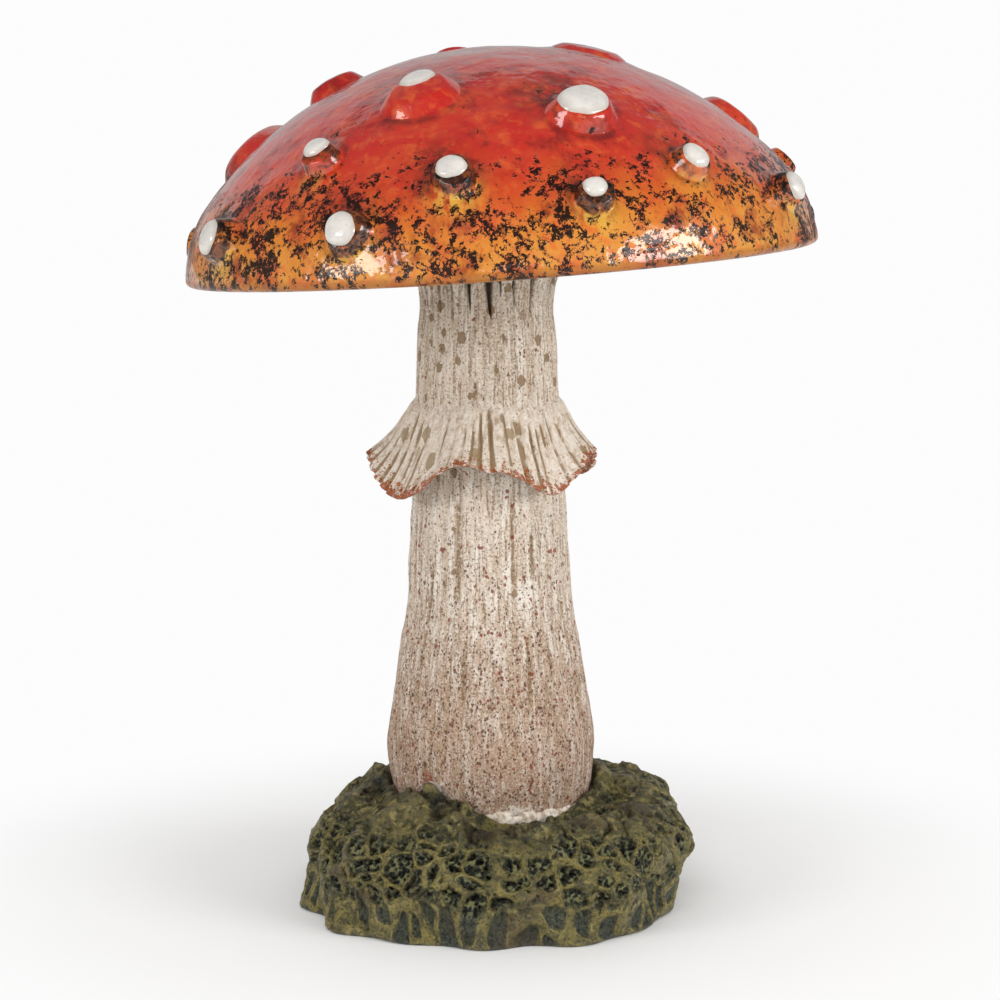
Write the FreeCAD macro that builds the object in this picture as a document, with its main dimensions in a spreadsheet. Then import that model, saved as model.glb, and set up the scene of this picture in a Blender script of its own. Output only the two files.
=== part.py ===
import FreeCAD, Part
import math
import os
import Sketcher
from FreeCAD import Placement, Rotation, Vector

# Ceramic mushroom ornament, millimetres, +Z up.
# The origin is on the floor, under the middle of the cap. The side seen in front is at -Y.
# The cap has a frame of its own: its level is where the dome is widest, and it leans by cap_tilt.

document = FreeCAD.newDocument("MushroomOrnament")
sheet = document.addObject("Spreadsheet::Sheet", "Sizes")

sizes = {
    # Dome
    "cap_radius": 58.3,
    "cap_rise": 38.9,
    "shoulder_radius": 21.2,
    "cap_level": 121.0,
    "cap_tilt": 4.1,
    "cap_wall": 4.2,
    "lip_wall": 3.0,
    "lip_drop": 1.0,
    "seat_rise": 6.0,
    # Gill disc
    "gill_count": 48,
    "gill_wall": 1.0,
    "gill_floor": 3.5,
    "gill_inset": 0.3,
    "gill_start": 11.0,
    "hub_radius": 14.5,
    # Joints between the fired pieces
    "glue_gap": 0.1,
    "cement_bed": 0.6,
    "head_shoulder": 3.4,
    "spigot_length": 6.5,
    "spigot_wall": 2.0,
    "foot_shoulder": 2.0,
    "plug_length": 6.8,
    # Stalk
    "foot_level": 17.6,
    "foot_offset": -1.75,
    "top_offset": -3.05,
    "bulb_radius": 19.45,
    "flute_count": 24,
    "flute_depth": 0.5,
    "slot_depth": 1.5,
    # Ring
    "skirt_level": 96.0,
    "skirt_drop": 14.2,
    "skirt_flare": 7.0,
    "skirt_wave": 3.3,
    "skirt_lobes": 4,
    "skirt_turn": -49.0,
    "skirt_wall": 0.9,
    "pleat_count": 24,
    "pleat_depth": 0.5,
    # Ground
    "base_radius": 37.8,
    "base_rise": 20.0,
    "base_offset": -2.1,
    "recess_depth": 6.6,
    "foot_wall": 7.5,
    "crest_width": 2.2,
    # Warts
    "wart_radius": 6.6,
    "wart_rise": 3.0,
    "dot_rise": 0.7,
}
for row, (alias, number) in enumerate(sizes.items(), start=1):
    sheet.set(f"A{row}", alias)
    sheet.set(f"B{row}", str(number))
    sheet.setAlias(f"B{row}", alias)
document.recompute()


def value(text):
    """Number that an expression on the sheet gives."""
    result = sheet.evalExpression(text)
    return float(getattr(result, "Value", result))


def size(alias):
    return float(getattr(sheet, alias))


# Sketch profiles and bodies


def origin_feature(body, role):
    return next(item for item in body.Origin.OriginFeatures if item.Role == role)


def new_sketch(body, name, role, offset=None):
    sketch = body.newObject("Sketcher::SketchObject", name)
    sketch.AttachmentSupport = [(origin_feature(body, role), "")]
    sketch.MapMode = "FlatFace"
    if offset:
        sketch.setExpression(".AttachmentOffset.Base.z", offset)
        document.recompute()
    return sketch


def pin(sketch, geometry, vertex, kind, text):
    """Hold one coordinate of a sketch point to an expression."""
    if text == "0":
        axis = -2 if kind == "DistanceX" else -1
        sketch.addConstraint(Sketcher.Constraint("PointOnObject", geometry, vertex, axis))
        return
    index = sketch.addConstraint(Sketcher.Constraint(kind, -1, 1, geometry, vertex, value(text)))
    sketch.setExpression(f"Constraints[{index}]", text)


def closed_profile(sketch, corners):
    """Closed outline of straight runs through corners, each held to its two expressions."""
    points = [Vector(value(x), value(y), 0) for x, y in corners]
    count = len(points)
    for index in range(count):
        sketch.addGeometry(Part.LineSegment(points[index], points[(index + 1) % count]), False)
    for index in range(count):
        sketch.addConstraint(Sketcher.Constraint("Coincident", index, 2, (index + 1) % count, 1))
    for index, (x, y) in enumerate(corners):
        pin(sketch, index, 1, "DistanceX", x)
        pin(sketch, index, 1, "DistanceY", y)
    document.recompute()


def circle_profile(sketch, x, radius):
    """Circle on the sketch's own X axis."""
    circle = Part.Circle(Vector(value(x), 0, 0), Vector(0, 0, 1), value(radius))
    sketch.addGeometry(circle, False)
    pin(sketch, 0, 3, "DistanceX", x)
    pin(sketch, 0, 3, "DistanceY", "0")
    index = sketch.addConstraint(Sketcher.Constraint("Radius", 0, value(radius)))
    sketch.setExpression(f"Constraints[{index}]", radius)
    document.recompute()


def new_body(label):
    body = document.addObject("PartDesign::Body", label)
    body.Label = label
    return body


def feature(body, kind, name, profile, **settings):
    item = body.newObject(f"PartDesign::{kind}", name)
    item.Profile = (profile, [""])
    for key, setting in settings.items():
        setattr(item, key, setting)
    document.recompute()
    return item


def lean_with_cap(piece):
    """Put a piece into the cap's frame and bind it there."""
    tilt = Rotation(Vector(0, -1, 0), size("cap_tilt"))
    piece.Placement = Placement(Vector(0, 0, size("cap_level")), tilt)
    piece.setExpression(".Placement.Base.z", "Sizes.cap_level")
    piece.setExpression(".Placement.Rotation.Angle", "Sizes.cap_tilt")


# Faceted clay forms


def facet(*corners):
    return Part.Face(Part.makePolygon([*corners, corners[0]]))


def ring_solid(rings, joined=False, flat=False, ends=None):
    """Solid through rings of points with equal counts.

    The first and last rings are joined to each other, or each is fanned shut to an end point, which is
    its own middle unless ends gives it. Flat bands have one face between two pairs of points.
    """
    count = len(rings[0])
    pairs = list(zip(rings, rings[1:]))
    if joined:
        pairs.append((rings[-1], rings[0]))
    faces = []
    for lower, upper in pairs:
        for index in range(count):
            following = (index + 1) % count
            if flat:
                faces.append(facet(lower[index], lower[following], upper[following], upper[index]))
                continue
            faces.append(facet(lower[index], lower[following], upper[following]))
            faces.append(facet(lower[index], upper[following], upper[index]))
    if not joined:
        middles = ends or [sum(ring, Vector()) / count for ring in (rings[0], rings[-1])]
        for ring, middle in zip((rings[0], rings[-1]), middles):
            faces += [facet(ring[index - 1], ring[index], middle) for index in range(count)]
    shell = Part.makeShell(faces)
    shell.sewShape()
    solid = Part.makeSolid(shell)
    if solid.Volume < 0:
        solid.reverse()
    return solid


def add_piece(label, shape):
    piece = document.addObject("Part::Feature", label)
    piece.Label = label
    piece.Shape = shape
    return piece


def heading(angle):
    """Level direction at an angle from the front, turning towards +X."""
    return Vector(math.sin(math.radians(angle)), -math.cos(math.radians(angle)), 0)


def wave(angle, *terms):
    """Sum of ripples, each a share, a count round the piece and a phase in degrees."""
    return sum(share * math.cos(math.radians(count * angle + phase)) for share, count, phase in terms)


def hump(angle, centre, width):
    """Bump that is 1 at its centre and fades over its width, in degrees."""
    off = (angle - centre + 180) % 360 - 180
    return math.exp(-((off / width) ** 2))


# Dome. A crown arc on the axis meets a tighter shoulder arc, whose centre is on the cap's level.

LIP_INNER = "(Sizes.cap_radius - Sizes.lip_wall)"
DOME_POINTS = 72


def shoulder_centre():
    return size("cap_radius") - size("shoulder_radius")


def crown_radius():
    rise = size("cap_rise")
    shoulder = size("shoulder_radius")
    return (shoulder_centre() ** 2 + rise ** 2 - shoulder ** 2) / (2 * (rise - shoulder))


def crown_centre():
    return size("cap_rise") - crown_radius()


def crown_turn():
    """Angle from the axis, seen from the crown's centre, at which the two arcs meet."""
    return math.asin(shoulder_centre() / (crown_radius() - size("shoulder_radius")))


def dome_point(turn, lift):
    """Distance from the axis and level of a point of the dome's outside, raised by lift, from its turn."""
    if turn <= crown_turn():
        radius = crown_radius() + lift
        return radius * math.sin(turn), crown_centre() + radius * math.cos(turn)
    radius = size("shoulder_radius") + lift
    return shoulder_centre() + radius * math.sin(turn), radius * math.cos(turn)


def between(start, end, count):
    """Evenly spaced values from start up to, but without, end."""
    return [start + (end - start) * index / count for index in range(count)]


def make_cap_dome():
    meeting = crown_turn()
    level = math.pi / 2
    wall = size("cap_wall")
    half_lip = size("lip_wall") / 2
    lip_middle = size("cap_radius") - half_lip
    inner_shoulder = size("shoulder_radius") - wall
    ledge = shoulder_centre() + math.sqrt(inner_shoulder ** 2 - size("seat_rise") ** 2)
    turns = [*between(0, meeting, 8)[1:], *between(meeting, level, 4)]
    outside = [dome_point(turn, 0) for turn in turns]
    lip = [(lip_middle + half_lip * math.cos(turn), -size("lip_drop") * math.sin(turn))
           for turn in between(0, math.pi, 4)]
    seat_level = size("seat_rise")
    seat = [(lip_middle - half_lip, 0), (lip_middle - half_lip, seat_level), (ledge, seat_level)]
    inside = [dome_point(turn, -wall) for turn in between(meeting, 0, 4)]
    rings = [[heading(360 * index / DOME_POINTS) * out + Vector(0, 0, up) for index in range(DOME_POINTS)]
             for out, up in [*outside, *lip, *seat, *inside]]
    top = Vector(0, 0, size("cap_rise"))
    piece = add_piece("cap_dome", ring_solid(rings, flat=True, ends=(top, top - Vector(0, 0, wall))))
    lean_with_cap(piece)
    return piece


# Each row is a share of the stalk's length and a share of its bulb radius.
stalk_shares = (
    (0.0, 0.925), (0.03, 0.95), (0.074, 0.985), (0.123, 1.0), (0.204, 0.948), (0.296, 0.873),
    (0.38, 0.795), (0.523, 0.752), (0.666, 0.704), (0.804, 0.674), (0.893, 0.645), (0.942, 0.632),
    (0.972, 0.662), (1.0, 0.715),
)
SPIGOT_RADIUS = f"({stalk_shares[-1][1]} * Sizes.bulb_radius - Sizes.slot_depth - Sizes.head_shoulder)"
PLUG_RADIUS = f"({stalk_shares[0][1]} * Sizes.bulb_radius - Sizes.foot_shoulder)"


# Gill disc. It seats on the ledge inside the dome, and its hub takes the stalk's spigot.

GILL_TOP = "(Sizes.seat_rise - Sizes.glue_gap)"
GILL_ROOT = "(Sizes.seat_rise - Sizes.glue_gap - Sizes.gill_floor)"
GILL_LOW = "(-Sizes.lip_drop + Sizes.gill_inset)"
DISC_RADIUS = f"({LIP_INNER} - Sizes.glue_gap)"
HUB_DROP = "(Sizes.lip_drop - Sizes.glue_gap)"


def make_gill_disc():
    body = new_body("gill_disc")
    plate = new_sketch(body, "plate_profile", "XZ_Plane")
    closed_profile(
        plate,
        [("0", GILL_TOP), (DISC_RADIUS, GILL_TOP), (DISC_RADIUS, GILL_ROOT), ("0", GILL_ROOT)],
    )
    feature(body, "Revolution", "plate", plate, ReferenceAxis=(plate, ["V_Axis"]), Angle=360)

    hub = new_sketch(body, "hub_circle", "XY_Plane", GILL_ROOT)
    circle_profile(hub, "Sizes.top_offset", "Sizes.hub_radius")
    boss = feature(body, "Pad", "hub", hub, Reversed=True)
    boss.setExpression("Length", f"{GILL_ROOT} + {HUB_DROP}")
    document.recompute()

    blade = new_sketch(body, "gill_profile", "XZ_Plane")
    span = f"({DISC_RADIUS} - Sizes.gill_start)"
    outline_shares = ((0.0, 0.74), (0.16, 0.74), (0.3, 0.92), (0.74, 1.0), (0.985, 0.35))
    depth = f"({GILL_ROOT} - {GILL_LOW})"
    lower = [(f"Sizes.gill_start + {along} * {span}", f"{GILL_ROOT} - {down} * {depth}")
             for along, down in outline_shares]
    top = f"{GILL_ROOT} + Sizes.gill_floor / 4"
    closed_profile(blade, [(lower[0][0], top), *lower, (lower[-1][0], top)])
    gill = feature(body, "Pad", "gill", blade, Midplane=True)
    gill.setExpression("Length", "Sizes.gill_wall")
    document.recompute()

    gills = body.newObject("PartDesign::PolarPattern", "gills")
    gills.Originals = [gill]
    gills.Axis = (origin_feature(body, "Z_Axis"), [""])
    gills.Angle = 360
    gills.setExpression("Occurrences", "Sizes.gill_count")
    body.Tip = gills
    document.recompute()

    socket = new_sketch(body, "socket_circle", "XY_Plane", GILL_TOP)
    circle_profile(socket, "Sizes.top_offset", f"{SPIGOT_RADIUS} + Sizes.glue_gap")
    feature(body, "Pocket", "socket", socket, Type="ThroughAll")
    lean_with_cap(body)
    return body


# Stalk. Rings of points follow a leaning centre line, and every other point is sunk to comb the clay.


def cap_point(x, y, level):
    """Point of the cap's own frame, in the part's frame."""
    frame = Placement(Vector(0, 0, size("cap_level")), Rotation(Vector(0, -1, 0), size("cap_tilt")))
    return frame.multVec(Vector(x, y, level))


def stalk_top_level():
    return -value(HUB_DROP) - size("cement_bed") - 2 * size("glue_gap")


def stalk_top():
    return cap_point(size("top_offset"), 0, stalk_top_level())


def stalk_centre(level):
    """Middle of the stalk at a height."""
    top = stalk_top()
    share = (level - size("foot_level")) / (top.z - size("foot_level"))
    return Vector(size("foot_offset") + share * (top.x - size("foot_offset")), 0, level)


def stalk_radius(level):
    """Ridge radius of the stalk at a height, between the rows of its table."""
    share = (level - size("foot_level")) / (stalk_top().z - size("foot_level"))
    for (low, low_radius), (high, high_radius) in zip(stalk_shares, stalk_shares[1:]):
        if share <= high:
            between = (share - low) / (high - low)
            return size("bulb_radius") * (low_radius + between * (high_radius - low_radius))
    return size("bulb_radius") * stalk_shares[-1][1]


def make_stalk():
    points = 2 * int(size("flute_count"))
    angles = [360 * index / points for index in range(points)]
    foot = size("foot_level")
    length = stalk_top().z - foot
    plug = value(PLUG_RADIUS)
    spigot = value(SPIGOT_RADIUS)
    bore = spigot - size("spigot_wall")

    def level_ring(level, radius):
        return [stalk_centre(level) + heading(angle) * radius for angle in angles]

    def cap_ring(radii, level):
        top = size("top_offset")
        return [cap_point(top + heading(angle).x * radius, heading(angle).y * radius, level)
                for angle, radius in zip(angles, radii)]

    def fluted(radius, depth):
        return [radius - (index % 2) * depth * (1 + wave(angle, (0.35, 5, 20), (0.3, 11, 70)))
                for index, angle in enumerate(angles)]

    rings = [level_ring(foot - size("plug_length"), bore),
             level_ring(foot - size("plug_length"), plug),
             level_ring(foot, plug)]
    for along, out in stalk_shares[:-1]:
        deep = size("slot_depth") if along > stalk_shares[-3][0] else size("flute_depth")
        radii = fluted(out * size("bulb_radius"), deep)
        level = foot + along * length
        rings.append([stalk_centre(level) + heading(angle) * radius for angle, radius in zip(angles, radii)])
    shoulder = stalk_top_level()
    rings.append(cap_ring(fluted(stalk_shares[-1][1] * size("bulb_radius"), size("slot_depth")), shoulder))
    spigot_top = shoulder + size("spigot_length")
    rings.append(cap_ring([spigot] * points, shoulder))
    rings.append(cap_ring([spigot] * points, spigot_top))
    rings.append(cap_ring([bore] * points, spigot_top))
    return add_piece("stalk", ring_solid(rings, joined=True))


# Ring. A thin collar that follows the stalk, flares like a bell and ends in a waved, pleated hem.


def make_ring_skirt():
    points = 2 * int(size("pleat_count"))
    angles = [360 * index / points for index in range(points)]
    top = size("skirt_level")

    def fall(angle):
        """Height that the skirt falls at an angle. Its lobes are a little closer together in front."""
        crowded = angle + math.degrees(wave(angle, (0.087, 1, -80))) + 3 - size("skirt_turn")
        lobes = math.cos(math.radians(size("skirt_lobes") * crowded))
        uneven = wave(angle, (0.12, 7, 40), (0.08, 11, 0), (-0.3, 1, -60))
        return size("skirt_drop") + size("skirt_wave") * (lobes + uneven)

    def skirt_ring(share, wall, pleat):
        ring = []
        for index, angle in enumerate(angles):
            level = top - share * fall(angle)
            seat = stalk_radius(top) + 2 * size("glue_gap")
            reach = 1 + wave(angle, (0.06, 3, 0), (0.05, 5, 60), (0.13, 1, 90))
            radius = seat + size("skirt_flare") * reach * share ** 1.9 + wall - pleat * (index % 2)
            clear = stalk_radius(level) + 2 * size("glue_gap") + wall
            centre = stalk_centre(level)
            ring.append(centre + heading(angle) * max(radius, clear))
        return ring

    wall = size("skirt_wall")
    pleat = size("pleat_depth")
    outside = [skirt_ring(share, wall, pleat * share) for share in (0.06, 0.3, 0.55, 0.75, 0.9, 1.0)]
    inside = [skirt_ring(share, 0, pleat * share) for share in (1.0, 0.75, 0.5, 0.0)]
    return add_piece("ring_skirt", ring_solid([*outside, *inside], joined=True))


# Ground. A rounded square lump of clay, leaning a little, with moss that creeps up the stalk's foot.

# Each row is a share of base_rise, a share of the plan's radius and a share of the radius moved to +X.
ground_shares = (
    (0.0, 0.955, -0.01), (0.06, 0.985, -0.01), (0.3, 0.985, 0.015), (0.52, 1.0, 0.045), (0.7, 0.975, 0.05),
    (0.86, 0.92, 0.06), (0.985, 0.815, 0.07), (1.06, 0.72, 0.05),
)
# Each row is the middle and width in degrees of a lobe of moss, and its rise as a share of base_rise.
moss_shares = ((-34, 28, 0.17), (95, 32, 0.17), (-98, 30, 0.17), (172, 40, 0.2), (16, 24, -0.12))


GROUND_POINTS = 60


def plan_radius(angle):
    uneven = wave(angle, (-0.03, 4, 15), (0.012, 9, 30), (-0.01, 13, 100), (0.015, 1, -90), (-0.027, 2, 180))
    return size("base_radius") * (1 + uneven)


def cobbles(angle, up):
    """Lumps of moss round the side, staggered with height, as a share of the plan's radius."""
    return 1 + wave(angle, (0.021, 15, 400 * up), (0.012, 11, 90 - 300 * up))


def crest_level(angle):
    lobes = sum(rise * hump(angle, centre, width) for centre, width, rise in moss_shares)
    return size("base_rise") * (1.03 + lobes)


def seat_radius():
    return size("bulb_radius") + 3 * size("glue_gap")


def seat_level():
    return size("foot_level") - size("cement_bed") - 2 * size("glue_gap")


def make_moss_base():
    angles = [360 * index / GROUND_POINTS for index in range(GROUND_POINTS)]
    rise = size("base_rise")

    def plan_ring(up, out, shift):
        middle = Vector(size("base_offset") + shift * size("base_radius"), 0, up * rise)
        swell = 1 + (out - 1) * (1 + 0.6 * (up - up * up))
        reaches = [plan_radius(angle) * swell * cobbles(angle, up) for angle in angles]
        return [middle + heading(angle) * reach for angle, reach in zip(angles, reaches)]

    def foot_ring(radius, level_of):
        return [stalk_centre(level_of(angle)) + heading(angle) * radius for angle in angles]

    seat = seat_radius()
    socket = value(PLUG_RADIUS) + size("glue_gap")
    socket_floor = size("foot_level") - size("plug_length") - size("glue_gap")
    crest = size("crest_width")
    rings = [
        foot_ring(socket, lambda angle: socket_floor),
        foot_ring(socket, lambda angle: seat_level()),
        foot_ring(seat, lambda angle: seat_level()),
        foot_ring(seat, lambda angle: crest_level(angle) - crest / 3),
        foot_ring(seat + crest / 2, crest_level),
        foot_ring(seat + 1.6 * crest, lambda angle: crest_level(angle) - 0.9 * crest),
        *(plan_ring(*row) for row in reversed(ground_shares)),
    ]
    wall = size("foot_wall")
    inner = [point - heading(angle) * wall for point, angle in zip(rings[-1], angles)]
    ceiling = [point - heading(angle) * (wall / 5) + Vector(0, 0, size("recess_depth"))
               for point, angle in zip(inner, angles)]
    return add_piece("moss_base", ring_solid([*rings, inner, ceiling]))


# Cement beds, squeezed out a little round the piece that they hold.


CEMENT_POINTS = 24


def cement_ring(label, centre_of, outline):
    """Ring of cement from radius and level pairs."""
    rings = [[centre_of(radius, 360 * index / CEMENT_POINTS, level) for index in range(CEMENT_POINTS)]
             for radius, level in outline]
    return add_piece(label, ring_solid(rings, joined=True))


def make_foot_cement():
    gap = size("glue_gap")
    low = seat_level() + gap
    high = low + size("cement_bed")
    inner = value(PLUG_RADIUS) / math.cos(math.pi / CEMENT_POINTS) + gap
    foot = stalk_radius(size("foot_level")) / math.cos(math.pi / CEMENT_POINTS) + gap
    outer = seat_radius() * math.cos(math.pi / GROUND_POINTS) - gap

    def point(radius, angle, level):
        return stalk_centre(level) + heading(angle) * radius

    crust = high + 2 * size("cement_bed")
    lean = stalk_radius(crust) / math.cos(math.pi / CEMENT_POINTS) + gap
    outline = ((inner, low), (outer, low), (outer, crust), (lean, crust), (foot, high), (inner, high))
    return cement_ring("foot_cement", point, outline)


def make_cap_cement():
    gap = size("glue_gap")
    low = stalk_top_level() + gap
    high = low + size("cement_bed")
    inner = value(SPIGOT_RADIUS) / math.cos(math.pi / CEMENT_POINTS) + gap
    outer = stalk_shares[-1][1] * size("bulb_radius") - size("slot_depth")

    def point(radius, angle, level):
        return cap_point(size("top_offset") + heading(angle).x * radius, heading(angle).y * radius, level)

    outline = ((inner, low), (outer, low), (outer, high), (inner, high))
    return cement_ring("cap_cement", point, outline)


# Warts and enamel dots, in the cap's frame.

# Each row is an angle from the front, the share of the cap's radius where the wart sits, the shares of
# wart_radius and wart_rise that it has, and the share of its own radius that its enamel dot covers.
wart_shares = (
    (-20.6, 0.575, 1.05, 0.9, 0.56), (22.6, 0.702, 0.92, 1.05, 0.70), (-38.5, 0.804, 0.62, 0.95, 0.68),
    (-7.6, 0.877, 0.66, 1.0, 0.68), (-26.0, 0.971, 0.68, 1.0, 0.70), (-58.0, 0.975, 0.70, 1.0, 0.74),
    (17.0, 0.946, 0.54, 1.15, 0.70), (39.3, 0.891, 0.56, 1.0, 0.70), (64.4, 0.963, 0.58, 0.9, 0.72),
    (88.0, 0.29, 1.15, 0.55, 0.0), (-99.4, 0.985, 0.62, 0.7, 0.0), (-106.0, 0.78, 1.45, 1.15, 0.0),
    (-103.4, 0.498, 0.85, 0.95, 0.0), (107.0, 0.78, 1.15, 1.1, 0.0), (101.2, 0.925, 0.55, 0.95, 0.0),
    (97.0, 0.994, 0.34, 0.45, 0.0), (140.0, 0.730, 0.80, 1.0, 0.66), (160.0, 0.950, 0.66, 1.0, 0.70),
    (176.0, 0.620, 0.95, 0.95, 0.0), (-168.0, 0.900, 0.64, 1.0, 0.70), (-150.0, 0.640, 0.86, 1.0, 0.62),
    (-130.0, 0.940, 0.66, 1.0, 0.70), (-158.0, 0.300, 0.72, 0.85, 0.0), (128.0, 0.960, 0.56, 1.0, 0.72),
)


def on_dome(point):
    """Nearest point of the glue line, just outside the dome, for a point of the cap's frame."""
    out = math.hypot(point.x, point.y)
    turn = math.atan2(out, point.z - crown_centre())
    if turn > crown_turn():
        turn = math.atan2(out - shoulder_centre(), point.z)
    reach, level = dome_point(turn, size("glue_gap"))
    return Vector(point.x * reach / out, point.y * reach / out, level)


def wart_frame(angle, place):
    """Foot of a wart on the dome, with the outward, downhill and level directions there."""
    out = place * size("cap_radius")
    turn = math.asin(out / crown_radius())
    if turn > crown_turn():
        turn = math.asin((out - shoulder_centre()) / size("shoulder_radius"))
    away = heading(angle)
    normal = away * math.sin(turn) + Vector(0, 0, math.cos(turn))
    downhill = away * math.cos(turn) - Vector(0, 0, math.sin(turn))
    reach, level = dome_point(turn, size("glue_gap"))
    return away * reach + Vector(0, 0, level), normal, downhill, normal.cross(downhill)


def pad_ring(frame, points, radius, uneven, height=None):
    """Uneven ring about a wart's axis, at a height above its foot or, without one, on the dome."""
    foot, normal, downhill, level = frame
    ring = []
    for index in range(points):
        turn = 360 * index / points
        reach = radius * (1 + wave(turn, (0.06, 2, uneven), (0.04, 3, 2 * uneven)))
        around = math.radians(turn)
        point = foot + downhill * (reach * math.cos(around)) + level * (reach * math.sin(around))
        ring.append(on_dome(point) if height is None else point + normal * height)
    return ring


def make_wart(number, row):
    angle, place, wide, tall, dot = row
    frame = wart_frame(angle, place)
    uneven = 77 * number
    radius = wide * size("wart_radius")
    rise = tall * size("wart_rise")
    sides = 11
    rings = [pad_ring(frame, sides, radius * 0.5, uneven), pad_ring(frame, sides, radius, uneven)]
    for narrow, up in ((0.86, 0.35), (0.76, 0.9), (0.68, 1.0)):
        rings.append(pad_ring(frame, sides, radius * narrow, uneven, rise * up))
    pieces = [add_piece(f"wart_{number:02d}", ring_solid(rings))]
    if dot:
        gap = size("glue_gap")
        drop = size("dot_rise")
        rings = [pad_ring(frame, sides, radius * dot * narrow, uneven + 40, rise + gap + drop * up)
                 for narrow, up in ((0.95, 0.0), (1.0, 0.35), (0.62, 1.0))]
        pieces.append(add_piece(f"glaze_dot_{number:02d}", ring_solid(rings)))
    for piece in pieces:
        lean_with_cap(piece)
    return pieces


def build():
    pieces = [make_moss_base(), make_foot_cement(), make_stalk(), make_ring_skirt(), make_cap_cement(),
              make_gill_disc(), make_cap_dome()]
    for number, row in enumerate(wart_shares, start=1):
        pieces += make_wart(number, row)
    document.recompute()
    for item in document.Objects:
        if "Invalid" in item.State or "Error" in item.State:
            raise RuntimeError(f"{item.Label} failed: {item.State}")
    for piece in pieces:
        shape = piece.Shape
        if shape.isNull() or not shape.isValid() or not shape.Solids:
            raise RuntimeError(f"{piece.Label} has no valid solid")
    return pieces


os.makedirs("parts", exist_ok=True)
for piece in build():
    piece.Shape.exportStep(f"parts/{piece.Label}.step")
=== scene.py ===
from collections import namedtuple
import math

import bpy
import numpy as np
from mathutils import Matrix, Vector


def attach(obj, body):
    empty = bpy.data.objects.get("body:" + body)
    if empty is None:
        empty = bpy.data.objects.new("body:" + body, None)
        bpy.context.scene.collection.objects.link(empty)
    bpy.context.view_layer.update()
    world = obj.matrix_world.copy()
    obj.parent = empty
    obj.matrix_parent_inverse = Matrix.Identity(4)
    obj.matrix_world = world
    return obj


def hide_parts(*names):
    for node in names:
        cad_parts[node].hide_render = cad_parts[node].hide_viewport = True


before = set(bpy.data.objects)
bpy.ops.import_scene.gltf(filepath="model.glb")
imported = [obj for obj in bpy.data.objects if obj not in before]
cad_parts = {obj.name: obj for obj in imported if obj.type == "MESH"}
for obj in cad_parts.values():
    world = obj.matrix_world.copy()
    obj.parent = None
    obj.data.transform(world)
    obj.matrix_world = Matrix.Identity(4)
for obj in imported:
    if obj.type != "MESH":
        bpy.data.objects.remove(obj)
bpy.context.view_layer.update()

# Lengths are millimetres until a mesh is made, and metres on the stage. Angles in degrees go round from
# the front, towards +X.
MM = 0.001
UP = np.array([0, 0, 1.0])

CAP_TILT = math.radians(4.1)
CAP_LEVEL = 121.0
CAP_RADIUS = 58.3
CAP_RISE = 38.9
SHOULDER = 21.2
CAP_WALL = 4.2
LIP_WALL = 3.0
LIP_DROP = 1.0
SEAT_RISE = 6.0
SHOULDER_CENTRE = CAP_RADIUS - SHOULDER
CROWN_RADIUS = (SHOULDER_CENTRE ** 2 + CAP_RISE ** 2 - SHOULDER ** 2) / (2 * (CAP_RISE - SHOULDER))
CROWN_CENTRE = CAP_RISE - CROWN_RADIUS
CROWN_TURN = math.asin(SHOULDER_CENTRE / (CROWN_RADIUS - SHOULDER))
CROWN_ARC = CROWN_RADIUS * CROWN_TURN
DOME_ARC = CROWN_ARC + SHOULDER * (math.pi / 2 - CROWN_TURN)
CAP_TURN = np.array([[math.cos(CAP_TILT), 0, -math.sin(CAP_TILT)],
                     [0, 1, 0],
                     [math.sin(CAP_TILT), 0, math.cos(CAP_TILT)]])


# Noise and curves


def lattice(cell, seed):
    """Repeatable value from 0 to 1 for each whole-number cell."""
    mixed = (cell[..., 0] * 374761393 + cell[..., 1] * 668265263 + cell[..., 2] * 1103515245
             + seed * 974711) & 0xffffffff
    mixed = ((mixed ^ (mixed >> 13)) * 1274126177) & 0xffffffff
    return ((mixed ^ (mixed >> 16)) & 0xffff) / 65535


def cloud(points, grain, seed=0):
    """Smooth noise from -1 to 1 with lumps of about grain across."""
    scaled = points / grain
    cell = np.floor(scaled).astype(np.int64)
    part = scaled - cell
    fade = part * part * (3 - 2 * part)
    total = np.zeros(points.shape[:-1])
    for corner in np.ndindex(2, 2, 2):
        step = np.array(corner)
        total += np.prod(np.where(step == 1, fade, 1 - fade), axis=-1) * lattice(cell + step, seed)
    return 2 * total - 1


def cells(points, grain, seed=0):
    """Distance to the nearest scattered point and to the border of its cell, in grains, and its number."""
    scaled = points / grain
    home = np.floor(scaled).astype(np.int64)
    first = np.full(points.shape[:-1], 9.0)
    second = first.copy()
    owner = np.zeros_like(first)
    for corner in np.ndindex(3, 3, 3):
        cell = home + np.array(corner) - 1
        seeds = cell + np.stack([lattice(cell, seed + 11 * axis) for axis in (1, 2, 3)], axis=-1)
        gap = np.linalg.norm(seeds - scaled, axis=-1)
        closer = gap < first
        second = np.where(closer, first, np.minimum(second, gap))
        owner = np.where(closer, lattice(cell, seed + 7), owner)
        first = np.where(closer, gap, first)
    return first, second - first, owner


def ease(low, high, value):
    """0 below low, 1 above high and smooth between; low may be the larger."""
    share = np.clip((value - low) / (high - low), 0, 1)
    return share * share * (3 - 2 * share)


def soft_curve(table, at):
    """Smooth line through a table of place and value rows."""
    places, values = np.array(table).T
    slopes = np.gradient(values, places)
    index = np.clip(np.searchsorted(places, at, side="right") - 1, 0, len(places) - 2)
    span = places[index + 1] - places[index]
    t = np.clip((at - places[index]) / span, 0, 1)
    return ((2 * t ** 3 - 3 * t ** 2 + 1) * values[index] + (t ** 3 - 2 * t ** 2 + t) * span * slopes[index]
            + (3 * t ** 2 - 2 * t ** 3) * values[index + 1] + (t ** 3 - t ** 2) * span * slopes[index + 1])


def round_angles(count):
    """Evenly spaced angles once round, in degrees."""
    return np.arange(count) * 360 / count


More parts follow.
